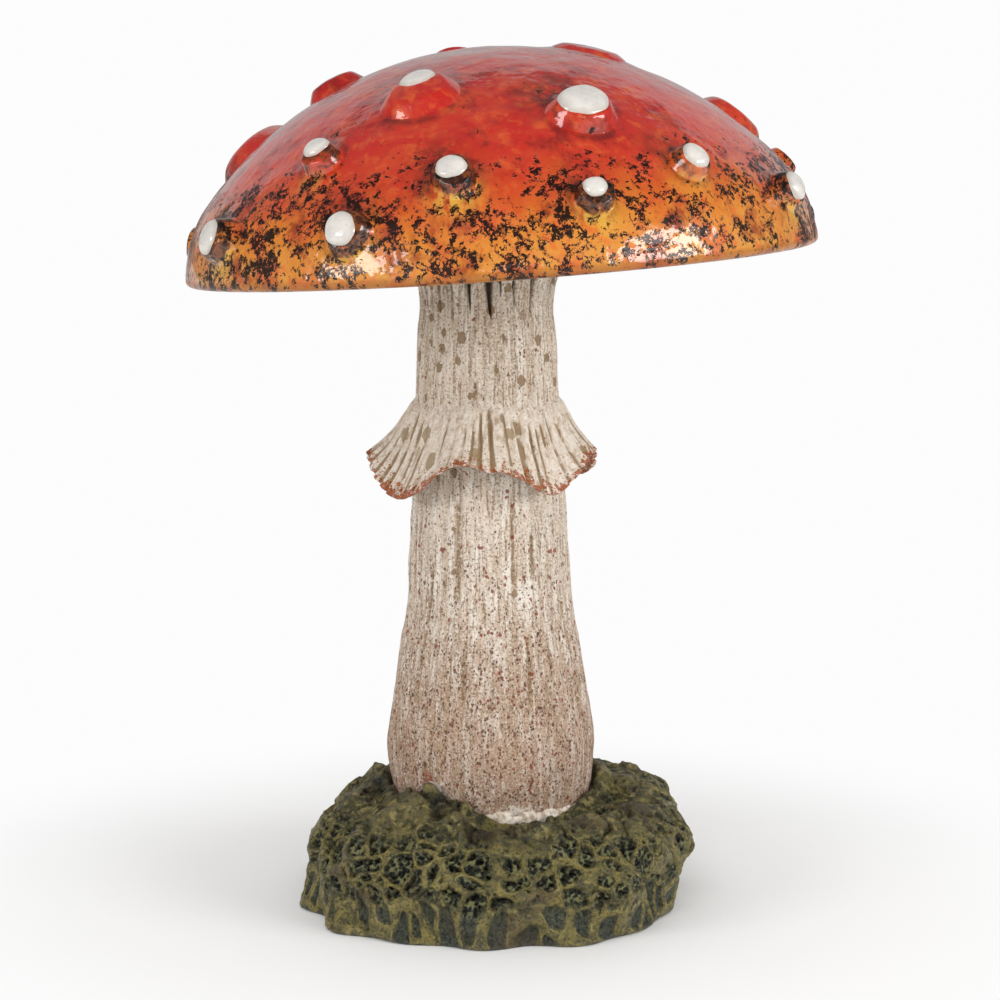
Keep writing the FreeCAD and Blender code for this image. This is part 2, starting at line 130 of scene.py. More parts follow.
def heading(angle):
    """Level directions at angles in degrees from the front, as an array."""
    turn = np.radians(angle)
    return np.stack([np.sin(turn), -np.cos(turn), np.zeros_like(turn)], axis=-1)


def wave(angle, *terms):
    """Sum of cosines round the ornament; each term is a share, a count and a phase."""
    return sum(share * np.cos(np.radians(count * angle + phase)) for share, count, phase in terms)


def turn_from(centre, angle):
    """Angle from a centre, between -180 and 180 degrees."""
    return (angle - centre + 180) % 360 - 180


def hump(angle, centre, width):
    """Soft hump of height 1 at an angle; a width away about a third of it is left."""
    return np.exp(-(turn_from(centre, angle) / width) ** 2)


def with_cap(points):
    """Points of the cap's own frame, in the part's frame."""
    return points @ CAP_TURN.T + UP * CAP_LEVEL


# Meshes


def surface(name, grid, joined=False, marks=None):
    """Closed mesh through rows of rings of points. End rings are joined, or each is fanned to its middle.

    marks maps an attribute's name to one value a point, or three, in the same rows.
    """
    rows, columns = grid.shape[:2]
    points = grid.reshape(-1, 3)
    first = np.arange(rows * columns).reshape(rows, columns)
    upper = first if joined else first[:-1]
    lower = np.roll(first, -1, axis=0) if joined else first[1:]
    quads = np.stack([upper, lower, np.roll(lower, -1, axis=1), np.roll(upper, -1, axis=1)], axis=-1)
    faces = quads.reshape(-1, 4).tolist()
    if not joined:
        ends = np.stack([grid[0].mean(axis=0), grid[-1].mean(axis=0)])
        for ring, middle in ((first[0], len(points)), (first[-1][::-1], len(points) + 1)):
            faces += [[int(a), int(b), middle] for a, b in zip(ring, np.roll(ring, -1))]
        points = np.concatenate([points, ends])
    mesh = bpy.data.meshes.new(name)
    mesh.from_pydata((points * MM).tolist(), [], faces)
    for key, values in (marks or {}).items():
        values = np.asarray(values, dtype=np.float32)
        wide = values.ndim == 3
        flat = values.reshape(rows * columns, -1)
        if not joined:
            ends = [end.reshape(columns, -1).mean(axis=0, keepdims=True) for end in (values[0], values[-1])]
            flat = np.concatenate([flat, *ends])
        layer = mesh.attributes.new(key, "FLOAT_VECTOR" if wide else "FLOAT", "POINT")
        layer.data.foreach_set("vector" if wide else "value", flat.ravel())
    return place(name, mesh)


def place(name, mesh):
    """Object at the origin with smooth faces that look outward, riding on the ornament's body."""
    corners = np.empty(len(mesh.vertices) * 3)
    mesh.vertices.foreach_get("co", corners)
    mesh.calc_loop_triangles()
    triangles = np.empty(len(mesh.loop_triangles) * 3, dtype=np.int32)
    mesh.loop_triangles.foreach_get("vertices", triangles)
    a, b, c = corners.reshape(-1, 3)[triangles.reshape(-1, 3)].transpose(1, 0, 2)
    if (a * np.cross(b, c)).sum() < 0:
        mesh.flip_normals()
    mesh.shade_smooth()
    piece = bpy.data.objects.new(name, mesh)
    bpy.context.scene.collection.objects.link(piece)
    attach(piece, "root")
    return piece


def outward(grid):
    """Unit normals of a grid whose columns run round it and whose rows run down the outside."""
    around = np.roll(grid, -1, axis=1) - np.roll(grid, 1, axis=1)
    normal = np.cross(np.gradient(grid, axis=0), around)
    return normal / np.maximum(np.linalg.norm(normal, axis=-1, keepdims=True), 1e-9)


def finish_with(piece, material, slot, *nodes):
    """Give a piece its material and hide the solids that it stands for; slot is not used."""
    piece.data.materials.append(material)
    if nodes:
        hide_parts(*nodes)


# Node trees


def tint(code):
    """Linear colour from its hex code."""
    parts = [int(code[index:index + 2], 16) / 255 for index in (0, 2, 4)]
    return (*[part / 12.92 if part <= 0.04045 else ((part + 0.055) / 1.055) ** 2.4 for part in parts], 1.0)


def feed(tree, node, inputs):
    """Give sockets, by name or number, a value, a colour's hex code or the socket that feeds them."""
    for key, given in inputs.items():
        if isinstance(given, bpy.types.NodeSocket):
            tree.links.new(given, node.inputs[key])
        else:
            node.inputs[key].default_value = tint(given) if isinstance(given, str) else given


def put(tree, kind, inputs=None, **settings):
    """Node of a kind with its settings and what its sockets are given."""
    node = tree.nodes.new(kind)
    for key, setting in settings.items():
        setattr(node, key, setting)
    feed(tree, node, inputs or {})
    return node


class Effect:
    """Shader tree in the making. Its calls take numbers, colour codes or sockets and return a socket."""

    def __init__(self, tree):
        self.tree = tree

    def node(self, kind, inputs=None, **settings):
        return put(self.tree, "ShaderNode" + kind, inputs, **settings)

    def math(self, operation, first, second=0.0):
        return self.node("Math", {0: first, 1: second}, operation=operation).outputs[0]

    def plus(self, first, second):
        return self.math("ADD", first, second)

    def minus(self, first, second):
        return self.math("SUBTRACT", first, second)

    def times(self, first, second):
        return self.math("MULTIPLY", first, second)

    def larger(self, first, second):
        return self.math("MAXIMUM", first, second)

    def swing(self, noise, reach):
        """Noise about a half, made a swing about nothing."""
        return self.times(self.minus(noise, 0.5), reach)

    def ramp(self, source, low, high, start=0.0, end=1.0):
        """Source carried smoothly from low..high to start..end."""
        return self.node("MapRange", {"Value": source, "From Min": low, "From Max": high,
                                      "To Min": start, "To Max": end},
                         interpolation_type="SMOOTHSTEP").outputs["Result"]

    def mix(self, share, under, over):
        return self.node("Mix", {0: share, 6: under, 7: over}, data_type="RGBA").outputs[2]

    def grain(self, vector, grains, detail=2.0, rough=0.5, swirl=0.0, seed=0.0):
        """Noise from about 0.25 to 0.75 with that many grains a millimetre."""
        return self.node("TexNoise", {"Vector": vector, "W": seed, "Scale": grains, "Detail": detail,
                                      "Roughness": rough, "Distortion": swirl},
                         noise_dimensions="4D").outputs["Fac"]

    def scale(self, vector, factor):
        return self.node("VectorMath", {0: vector, "Scale": factor}, operation="SCALE").outputs[0]

    def stretch(self, vector, sideways, upwards):
        shares = (sideways, sideways, upwards)
        return self.node("VectorMath", {0: vector, 1: shares}, operation="MULTIPLY").outputs[0]

    def shake(self, vector, grains, detail, reach):
        """Vector jolted by noise, which gives what is drawn on it ragged edges."""
        noise = self.node("TexNoise", {"Vector": vector, "Scale": grains, "Detail": detail}).outputs["Color"]
        return self.node("VectorMath", {0: noise, 1: (reach, reach, reach), 2: vector},
                         operation="MULTIPLY_ADD").outputs[0]

    def drops(self, vector, close, smallest, largest, edge, chance):
        """Round drops; close is the number of cells a millimetre, chance the share that holds a drop."""
        cell = self.node("TexVoronoi", {"Vector": vector, "Scale": close}).outputs
        picked = self.node("SeparateColor", {0: cell["Color"]}).outputs
        wide = self.ramp(picked["Green"], 0.0, 1.0, smallest, largest)
        drop = self.ramp(self.minus(wide, cell["Distance"]), 0.0, edge)
        return self.times(drop, self.math("LESS_THAN", picked["Red"], chance))

    def use(self, group, inputs):
        """Result of a shared effect that is placed here."""
        return self.node("Group", inputs, node_tree=group).outputs[0]


class Finish(Effect):
    """Material in the making, painted coat over coat; where is the place on it in millimetres."""

    def __init__(self, name):
        self.material = bpy.data.materials.new(name)
        self.material.use_nodes = True
        super().__init__(self.material.node_tree)
        self.shader = self.tree.nodes["Principled BSDF"]
        self.where = self.scale(self.node("TexCoord").outputs["Object"], 1000.0)

    def mark(self, name, output="Fac"):
        """Value that the points of a piece hold under a name."""
        return self.node("Attribute", attribute_name=name).outputs[output]

    def coat(self, share, colour):
        """Another colour over the coats so far."""
        self.colour = self.mix(share, self.colour, colour)

    def chips(self, close, chance, share, colour):
        """Coat of round chips with ragged edges."""
        shaken = self.stretch(self.shake(self.where, 1.2, 2.0, 0.9), 1.0, 0.8)
        chips = self.drops(shaken, close, 0.12, 0.34, 0.03, chance)
        self.coat(self.times(chips, share), colour)
        return chips

    def specks(self, vector, size, density, share, colour):
        """Coat of clay specks of a size and a density."""
        specks = self.use(SPECKS, {"Vector": vector, "Size": size, "Density": density})
        self.coat(self.times(specks, share), colour)
        return specks

    def relief(self, height, depth):
        """Normal of a relief whose depth is in millimetres."""
        return self.node("Bump", {"Height": height, "Distance": depth * MM}).outputs[0]

    def done(self, inputs):
        """The material, once its shader has the colour and the other inputs."""
        feed(self.tree, self.shader, {"Base Color": self.colour, **inputs})
        return self.material


# Effects shared by several finishes


def shared_effect(name, values):
    """Group on Vector and some named values, with the sockets that go in and its result."""
    group = bpy.data.node_groups.new(name, "ShaderNodeTree")
    group.interface.new_socket("Vector", in_out="INPUT", socket_type="NodeSocketVector")
    for label, start in values.items():
        socket = group.interface.new_socket(label, in_out="INPUT", socket_type="NodeSocketFloat")
        socket.default_value = start
    group.interface.new_socket("Result", in_out="OUTPUT", socket_type="NodeSocketFloat")
    return Effect(group), put(group, "NodeGroupInput").outputs, put(group, "NodeGroupOutput")


def make_ink_scribble():
    """Spattered ink: thin branching lines and small blots, where Amount is high."""
    spatter, given, result = shared_effect("ink_scribble", {"Amount": 0.5})
    vector = given["Vector"]
    patch = spatter.grain(vector, 0.20, 4.0, 0.62, 0.4, 3.0)
    ragged = spatter.grain(vector, 0.80, 2.0, 0.60, 0.6, 9.0)
    threshold = spatter.ramp(given["Amount"], 0.0, 1.0, 0.84, 0.47)
    over = spatter.minus(spatter.plus(ragged, spatter.swing(patch, 1.1)), threshold)
    ink = spatter.ramp(over, 0.16, 0.175)
    thick = spatter.ramp(over, -0.05, 0.12, 0.018, 0.058)
    near = spatter.ramp(over, -0.050, -0.015)
    for grains, seed in ((0.54, 21.0), (0.84, 51.0), (1.20, 71.0)):
        twist = spatter.grain(vector, grains, 1.5, 0.55, 1.5, seed)
        away = spatter.math("ABSOLUTE", spatter.minus(twist, 0.5))
        stroke = spatter.ramp(spatter.minus(thick, away), 0.0, 0.008)
        ink = spatter.larger(ink, spatter.times(stroke, near))
    feed(spatter.tree, result, {0: ink})
    return spatter.tree


def make_clay_specks():
    """Small round-edged specks of iron in fired clay; Density goes from 0 to 1."""
    iron, given, result = shared_effect("clay_specks", {"Density": 0.5, "Size": 1.0})
    vector = iron.scale(given["Vector"], iron.math("DIVIDE", 1.0, given["Size"]))
    gathered = iron.swing(iron.grain(vector, 0.22, 3.0, 0.6), 1.6)
    chance = iron.plus(given["Density"], gathered)
    specks = iron.drops(iron.shake(vector, 1.7, 2.0, 0.7), 1.3, 0.14, 0.38, 0.06, chance)
    feed(iron.tree, result, {0: specks})
    return iron.tree


INK = make_ink_scribble()
SPECKS = make_clay_specks()


# Finishes

# Colours down the cap, each with its place as a share of the way from the top to the lip.
CAP_BANDS = ((0.0, "a5130d"), (0.40, "b01710"), (0.64, "b81f12"), (0.74, "ba3213"), (0.82, "bd5116"),
             (0.90, "c97824"), (1.0, "cc8a38"))


def make_cap_glaze():
    """Red glaze that runs down to golden orange, spattered with black, thick and uneven, with painted shade
    in the crease round each wart.
    """
    glaze = Finish("cap_glaze")
    where = glaze.where
    down = glaze.mark("down")
    streak = glaze.mark("streak", "Vector")
    wander = glaze.plus(glaze.times(glaze.grain(streak, 0.11, 4.0, 0.6), 0.30),
                        glaze.times(glaze.grain(where, 0.4, 4.0, 0.65), 0.10))
    bands = glaze.node("ValToRGB", {"Fac": glaze.plus(down, glaze.minus(wander, 0.20))})
    elements = bands.color_ramp.elements
    while len(elements) < len(CAP_BANDS):
        elements.new(0.5)
    for element, (at, code) in zip(elements, CAP_BANDS):
        element.position = at
        element.color = tint(code)
    glaze.colour = bands.outputs["Color"]
    clouds = glaze.grain(where, 0.20, 3.0, 0.55, 0.4, 2.0)
    glaze.coat(glaze.ramp(clouds, 0.45, 0.68, 0.0, 0.70), "c4401b")
    mottles = glaze.grain(where, 0.42, 3.0, 0.55, 0.5, 8.0)
    glaze.coat(glaze.ramp(mottles, 0.50, 0.70, 0.0, 0.65), "cc5722")
    shades = glaze.grain(where, 0.14, 4.0, 0.65, 0.2, 27.0)
    glaze.coat(glaze.ramp(shades, 0.50, 0.66, 0.0, 0.75), "7c0d0b")
    # Painted shade: a patchy dark red ring in the crease round the foot of each wart
    patchy = glaze.ramp(glaze.grain(where, 0.30, 3.0, 0.6, 0.0, 73.0), 0.40, 0.58, 0.15, 0.7)
    glaze.coat(glaze.times(glaze.mark("crease"), patchy), "5a0f09")

    # Thin yellow glaze under the lower warts, and the brown glass of their sides
    pool = glaze.times(glaze.mark("pool"), glaze.ramp(down, 0.68, 0.82))
    runs = glaze.ramp(glaze.grain(streak, 0.6, 3.0, 0.6, 0.8, 5.0), 0.38, 0.56)
    glaze.coat(glaze.times(glaze.times(pool, runs), 0.95), "d6a53c")
    knob = glaze.plus(glaze.mark("knob"), glaze.swing(glaze.grain(where, 0.7, 3.0, 0.6, 0.5, 31.0), 1.2))
    glassy = glaze.ramp(knob, 0.28, 0.60, 0.0, 0.94)
    amber = glaze.ramp(glaze.grain(where, 0.8, 3.0, 0.6, 0.6, 38.0), 0.44, 0.60)
    glaze.coat(glassy, glaze.mix(amber, "1c0c06", "6f3a14"))
    lip = glaze.ramp(down, 0.985, 1.0)
    glaze.coat(glaze.times(lip, 0.6), "8a4d16")

    # Black: smoke above the warts, then ink that thickens towards the lip
    thin = glaze.ramp(glaze.grain(where, 0.45, 4.0, 0.65, 0.4, 44.0), 0.36, 0.60)
    haze = glaze.times(glaze.mark("haze"), thin)
    glaze.coat(glaze.times(haze, 0.75), "2c130c")
    smoke = glaze.ramp(glaze.grain(where, 0.055, 3.0, 0.6, 0.2, 14.0), 0.52, 0.70)
    amount = glaze.times(glaze.ramp(down, 0.54, 0.86, 0.08, 0.75), glaze.ramp(down, 1.0, 0.975, 0.85, 1.0))
    amount = glaze.plus(amount, glaze.plus(glaze.times(smoke, 0.20), glaze.times(haze, 0.30)))
    ink = glaze.use(INK, {"Vector": where, "Amount": amount})
    glaze.coat(glaze.times(ink, 0.97), "060403")

    matt = glaze.larger(glaze.larger(ink, glaze.times(glassy, 0.35)), glaze.times(lip, 0.9))
    peel = glaze.plus(glaze.grain(where, 0.28, 2.0, 0.5, 0.0, 6.0),
                      glaze.times(glaze.grain(where, 0.8, 2.0, 0.5, 0.0, 16.0), 0.09))
    nibs = glaze.ramp(glaze.grain(where, 1.6, 1.0, 0.5, 0.0, 19.0), 0.70, 0.76)
    peel = glaze.plus(peel, glaze.times(nibs, 0.06))
    relief = glaze.relief(glaze.plus(peel, glaze.times(ink, 0.05)), 0.36)
    return glaze.done({
        "Roughness": glaze.plus(glaze.times(ink, 0.10), glaze.ramp(clouds, 0.3, 0.7, 0.22, 0.36)),
        "Specular IOR Level": 0.25, "Coat Weight": glaze.ramp(matt, 0.0, 1.0, 1.0, 0.25),
        "Coat Roughness": 0.085, "Coat IOR": 1.55, "Normal": relief, "Coat Normal": relief})


def make_white_enamel():
    """Thick white enamel, a little bluish and thinner at its edge."""
    enamel = Finish("white_enamel")
    uneven = enamel.grain(enamel.where, 0.6, 3.0, 0.6)
    enamel.colour = enamel.mix(enamel.ramp(uneven, 0.35, 0.7), "d5d0c8", "c6c2bc")
    enamel.coat(enamel.ramp(enamel.mark("edge"), 0.72, 1.0, 0.0, 0.65), "b3a89c")
    pits = enamel.ramp(enamel.grain(enamel.where, 2.4, 2.0, 0.5, 0.0, 4.0), 0.70, 0.74)
    enamel.coat(enamel.times(pits, 0.6), "8f8478")
    return enamel.done({"Roughness": enamel.ramp(uneven, 0.3, 0.7, 0.16, 0.28), "Coat Weight": 0.8,
                        "Coat Roughness": 0.08, "Normal": enamel.relief(uneven, 0.10)})


def comb_and_chalk(clay):
    """Fine comb lines down the clay, and chalky grains all over it."""
    lines = clay.grain(clay.stretch(clay.where, 1.0, 0.06), 1.9, 3.0, 0.65, 0.0, 12.0)
    return lines, clay.grain(clay.where, 2.4, 3.0, 0.7, 0.0, 18.0)


def make_stalk_bisque():
    """Chalky combed clay, cream above and brown towards the foot, with iron specks and painted shade in the
    notches under the cap.
    """
    clay = Finish("stalk_bisque")
    where = clay.where
    fine, chalk = comb_and_chalk(clay)
    height = clay.node("SeparateXYZ", {0: where}).outputs["Z"]
    level = clay.plus(height, clay.swing(clay.grain(where, 0.08, 3.0, 0.6, 0.0, 40.0), 40.0))
    foot = clay.ramp(level, 82.0, 22.0)
    clay.colour = clay.mix(foot, "dccbb8", "b1927b")
    streaks = clay.grain(clay.stretch(where, 1.0, 0.10), 0.9, 3.0, 0.6)
    pale = clay.times(clay.ramp(streaks, 0.47, 0.60, 0.0, 0.85), clay.ramp(foot, 0.3, 1.0, 1.0, 0.45))
    clay.coat(pale, "ede4d8")
    clay.coat(clay.times(clay.mark("hollow"), 0.9), "a08360")
    clay.coat(clay.ramp(fine, 0.54, 0.62, 0.0, 0.75), "957a5e")
    clay.coat(clay.times(clay.ramp(chalk, 0.53, 0.63), clay.ramp(foot, 0.2, 0.9, 0.75, 0.45)), "f0e9df")
    clay.coat(clay.ramp(chalk, 0.46, 0.36, 0.0, 0.8), "7d6552")
    chips = clay.chips(0.36, clay.ramp(height, 82.0, 104.0, 0.06, 0.9), 0.9, "93795a")
    iron = clay.specks(clay.stretch(where, 1.0, 0.65), 0.95, clay.ramp(level, 86.0, 24.0, 0.04, 1.0),
                       0.85, "74402e")
    clay.specks(clay.stretch(where, 1.1, 0.8), 0.7, clay.ramp(level, 84.0, 22.0, 0.06, 1.1), 0.85, "3d3026")
    clay.specks(where, 1.5, clay.ramp(level, 92.0, 66.0, 0.0, 0.26), 0.85, "8a3e28")
    blur = clay.swing(clay.grain(where, 0.8, 4.0, 0.7, 0.8, 33.0), 2.6)
    clay.coat(clay.ramp(clay.plus(clay.mark("stain"), blur), 0.45, 1.30, 0.0, 0.75), "8f3d22")
    clay.coat(clay.ramp(clay.plus(clay.mark("crust"), blur), 0.60, 0.85, 0.0, 0.8), "e4dacd")
    # Painted shade: near black in the notches under the cap
    clay.coat(clay.times(clay.mark("notch"), 0.9), "35281d")
    relief = clay.plus(clay.times(fine, -0.9), chalk)
    for chipped in (chips, iron):
        relief = clay.minus(relief, clay.times(chipped, 0.3))
    return clay.done({"Roughness": 0.82, "Specular IOR Level": 0.3, "Normal": clay.relief(relief, 0.55)})


def make_ring_bisque():
    """Pleated cream clay with a rusty hem, and painted shade on its inside against the stalk."""
    clay = Finish("ring_bisque")
    where = clay.where
    fine, chalk = comb_and_chalk(clay)
    hem = clay.mark("hem")
    uneven = clay.grain(where, 0.5, 3.0, 0.6)
    clay.colour = clay.mix(clay.ramp(uneven, 0.35, 0.65), "e2d3c2", "d6c4b1")
    streaks = clay.grain(clay.stretch(where, 1.0, 0.14), 1.1, 3.0, 0.6)
    clay.coat(clay.ramp(streaks, 0.45, 0.62, 0.0, 0.75), "ece4d9")
    clay.coat(clay.ramp(streaks, 0.46, 0.36, 0.0, 0.5), "ab9377")
    clay.coat(clay.ramp(chalk, 0.52, 0.64, 0.0, 0.7), "efe8de")
    clay.coat(clay.ramp(chalk, 0.44, 0.34, 0.0, 0.4), "8c7460")

    # The top takes on the stalk's lines, so that it looks pressed on
    top = clay.ramp(hem, 0.30, 0.02)
    clay.coat(clay.times(clay.ramp(fine, 0.54, 0.63, 0.0, 0.65), top), "9a7f64")
    clay.coat(clay.times(clay.ramp(chalk, 0.46, 0.36, 0.0, 0.8), top), "7d6552")
    patchy = clay.ramp(clay.grain(where, 0.35, 3.0, 0.6, 0.0, 7.0), 0.36, 0.52, 0.45, 1.0)
    clay.coat(clay.ramp(clay.times(clay.mark("hollow"), patchy), 0.25, 0.68, 0.0, 0.9), "947a57")
    # Painted shade: the inside of the ring, against the stalk, greyed
    clay.coat(clay.times(clay.mark("under"), 0.45), "a89a8a")
    clay.chips(0.22, 0.42, 0.8, "9c8461")
    shaken = clay.plus(clay.swing(clay.grain(where, 1.0, 4.0, 0.7), 0.90),
                       clay.swing(clay.grain(where, 0.11, 1.0), 0.20))
    rust = clay.ramp(clay.plus(hem, shaken), 0.935, 1.0)
    clay.coat(clay.times(rust, 0.9), clay.mix(clay.ramp(chalk, 0.42, 0.56), "7e3816", "b05a26"))
    clay.specks(where, 0.75, clay.ramp(hem, 0.62, 1.0, 0.0, 1.1), 0.85, "8f3f20")
    return clay.done({"Roughness": 0.8, "Specular IOR Level": 0.3,
                      "Normal": clay.relief(clay.plus(uneven, chalk), 0.4)})


def make_gill_bisque():
    """Pale gills, browner in patches, with a few specks."""
    clay = Finish("gill_bisque")
    uneven = clay.grain(clay.where, 0.25, 4.0, 0.6)
    clay.colour = clay.mix(clay.ramp(uneven, 0.35, 0.65), "e0d3bb", "c4ae8c")
    clay.specks(clay.where, 1.2, 0.4, 0.6, "8d6d4c")
    relief = clay.relief(clay.plus(uneven, clay.grain(clay.where, 2.0, 3.0, 0.6)), 0.3)
    return clay.done({"Roughness": 0.75, "Normal": relief})


def make_moss_paint():
    """Olive bands between dark, pitted hollows, with light brushed edges, painted shade in the pits and
    painted highlights in the hollows.
    """
    moss = Finish("moss_paint")
    where = moss.where
    inside = moss.mark("inside")
    crumbly = moss.mark("crumbly")
    uneven = moss.grain(where, 0.45, 4.0, 0.65)
    fine = moss.grain(where, 2.0, 4.0, 0.7, 0.0, 5.0)
    crumb = moss.node("TexVoronoi", {"Vector": moss.shake(where, 1.0, 3.0, 1.2), "Scale": 1.15})
    crumb = crumb.outputs["Distance"]
    rough_part = moss.times(inside, crumbly)
    # Pits between the crumbs: sunk in the relief and painted near black as shade
    pit_shade_and_depth = moss.times(moss.ramp(crumb, 0.44, 0.24), rough_part)

    hollow = moss.mix(moss.ramp(fine, 0.35, 0.65), "1f231d", moss.mix(crumbly, "4b5044", "3d4338"))
    # Painted glints: light flecks in the hollows
    hollow = moss.mix(moss.ramp(fine, 0.60, 0.70, 0.0, 0.7), hollow, "85845a")
    # Painted highlights on the rims of the crumbs in the rough hollows
    hollow = moss.mix(moss.times(moss.ramp(crumb, 0.52, 0.66), rough_part), hollow, "77754b")
    # Painted shade: near black in the pits between the crumbs
    hollow = moss.mix(moss.times(pit_shade_and_depth, 0.9), hollow, "0c0d0a")

    moss.colour = moss.mix(moss.ramp(uneven, 0.35, 0.65), "4d4a2e", "85783f")
    moss.coat(moss.ramp(fine, 0.55, 0.67, 0.0, 0.6), "9c8f58")
    moss.coat(moss.ramp(fine, 0.48, 0.38, 0.0, 0.8), "23241a")
    sheet = moss.mix(moss.ramp(uneven, 0.42, 0.60), "161a12", "4d492c")
    moss.coat(moss.times(moss.mark("leaf"), 0.8), sheet)
    moss.coat(inside, hollow)
    worn = moss.ramp(moss.grain(where, 0.7, 3.0, 0.65, 0.3, 61.0), 0.42, 0.60)
    edge = moss.ramp(moss.math("ABSOLUTE", moss.minus(inside, 0.30)), 0.26, 0.04)
    moss.coat(moss.times(moss.larger(moss.times(edge, worn), moss.mark("ridge")), 0.55), "b0a063")
    # Painted shade: near black in the pits, pocks and the gaps between the folds
    moss.coat(moss.times(moss.mark("pit"), 0.95), "0b0c09")
    moss.coat(moss.ramp(moss.grain(where, 0.07, 2.0, 0.5, 0.0, 50.0), 0.58, 0.70, 0.0, 0.5), "4c3c2c")
    relief = moss.relief(moss.minus(moss.plus(uneven, fine), moss.times(pit_shade_and_depth, 0.8)), 0.65)
    return moss.done({"Roughness": moss.ramp(fine, 0.3, 0.7, 0.20, 0.46), "Normal": relief})


def make_cement():
    """Pale crusty cement."""
    cement = Finish("cement")
    lumps = cement.grain(cement.where, 0.9, 4.0, 0.65)
    cement.colour = cement.mix(cement.ramp(lumps, 0.4, 0.62), "e0d6c8", "a8957e")
    return cement.done({"Roughness": 0.9, "Normal": cement.relief(lumps, 0.6)})


CAP_GLAZE = make_cap_glaze()
ENAMEL = make_white_enamel()
STALK_BISQUE = make_stalk_bisque()
RING_BISQUE = make_ring_bisque()
GILL_BISQUE = make_gill_bisque()
MOSS_PAINT = make_moss_paint()
CEMENT = make_cement()


# Cap and its warts

WART_RADIUS = 6.6
WART_RISE = 3.0
# A wart's angle, the share of the cap's radius where it stands, the shares of the usual radius and rise,
# the share of its radius that enamel covers, how far the enamel has slid uphill, and how much it is a
# dark knob.
Wart = namedtuple("Wart", "angle, stand, size, steep, enamel, slid, knob")
WARTS = [Wart(*row) for row in (
    (-20.6, 0.575, 1.05, 0.9, 0.46, 0.40, 0.0), (22.6, 0.702, 0.92, 1.05, 0.76, 0.10, 0.3),
    (-38.5, 0.804, 0.62, 0.95, 0.60, 0.22, 0.65), (-7.6, 0.877, 0.66, 1.0, 0.60, 0.10, 0.75),
    (-26.0, 0.971, 0.68, 1.0, 0.71, 0.04, 0.85), (-58.0, 0.975, 0.70, 1.0, 0.71, 0.08, 0.8),
    (17.0, 0.946, 0.54, 1.15, 0.62, 0.30, 1.0), (39.3, 0.891, 0.56, 1.0, 0.72, 0.05, 0.5),
    (64.4, 0.963, 0.58, 0.9, 0.72, 0.0, 0.6), (80.0, 0.325, 1.05, 0.40, 0.0, 0.0, 0.0),
    (-99.4, 0.985, 0.62, 0.7, 0.0, 0.0, 0.4), (-106.0, 0.79, 1.45, 1.15, 0.0, 0.0, 0.0),
    (-103.4, 0.498, 0.85, 0.95, 0.0, 0.0, 0.0), (107.0, 0.79, 1.15, 1.1, 0.0, 0.0, 0.1),
    (101.2, 0.925, 0.55, 0.95, 0.0, 0.0, 0.15), (97.0, 0.994, 0.34, 0.45, 0.0, 0.0, 1.0),
    (140.0, 0.730, 0.80, 1.0, 0.66, 0.2, 0.1), (160.0, 0.950, 0.66, 1.0, 0.70, 0.2, 0.8),
    (176.0, 0.620, 0.95, 0.95, 0.0, 0.0, 0.0), (-168.0, 0.900, 0.64, 1.0, 0.70, 0.2, 0.8),
    (-150.0, 0.640, 0.86, 1.0, 0.62, 0.25, 0.1), (-130.0, 0.940, 0.66, 1.0, 0.70, 0.15, 0.8),
    (-158.0, 0.300, 0.72, 0.85, 0.0, 0.0, 0.0), (128.0, 0.960, 0.56, 1.0, 0.72, 0.1, 0.9),
)]
# How far the enamel of some warts has slipped sideways, as a share of the wart's radius.
DROP_SLIPS = {3: -0.04, 5: -0.14, 6: -0.16, 8: 0.08}


def dome_at(arc, lift):
    """Distance from the axis and level on the dome's outside, from the arc down from its top."""
    turn = np.where(arc <= CROWN_ARC, arc / CROWN_RADIUS, CROWN_TURN + (arc - CROWN_ARC) / SHOULDER)
    crown = arc <= CROWN_ARC
    radius = np.where(crown, CROWN_RADIUS, SHOULDER) + lift
    out = np.where(crown, 0, SHOULDER_CENTRE) + radius * np.sin(turn)
    return out, np.where(crown, CROWN_CENTRE, 0) + radius * np.cos(turn)


def down_dome(points):
    """Arc down from the top of the dome to below points of the cap's frame."""
    out = np.hypot(points[..., 0], points[..., 1])
    turn = np.arctan2(out, points[..., 2] - CROWN_CENTRE)
    low = np.arctan2(out - SHOULDER_CENTRE, points[..., 2])
    return np.where(turn <= CROWN_TURN, turn * CROWN_RADIUS, CROWN_ARC + (low - CROWN_TURN) * SHOULDER)


def on_dome(points, lift):
    """Points of the cap's frame set on the dome, raised by lift."""
    out, level = dome_at(down_dome(points), lift)
    reach = np.maximum(np.hypot(points[..., 0], points[..., 1]), 1e-6)
    return np.stack([points[..., 0] * out / reach, points[..., 1] * out / reach, level], axis=-1)


def dome_skin(points):
    """Small unevenness of the glaze over the dome, never outward of the fired form."""
    return 0.16 * (cloud(points, 9, 4) - 1) + 0.07 * (cloud(points, 3.2, 9) - 1)


def streak_track(away, arc):
    """Places that are long down the dome, for streaks in its glaze."""
    return away * 52.0 + arc[..., None] * UP * 0.35


def wart_frame(wart):
    """Foot of a wart on the dome with the outward, downhill and level directions there."""
    out = wart.stand * CAP_RADIUS
    turn = math.asin(min(1, out / CROWN_RADIUS))
    if turn > CROWN_TURN:
        turn = math.asin((out - SHOULDER_CENTRE) / SHOULDER)
    arc = turn * CROWN_RADIUS if turn <= CROWN_TURN else CROWN_ARC + (turn - CROWN_TURN) * SHOULDER
    away = heading(wart.angle)
    reach, level = dome_at(np.array(arc), 0.1)
    normal = away * math.sin(turn) + UP * math.cos(turn)
    downhill = away * math.cos(turn) - UP * math.sin(turn)
    return away * reach + UP * level, normal, downhill, np.cross(normal, downhill)


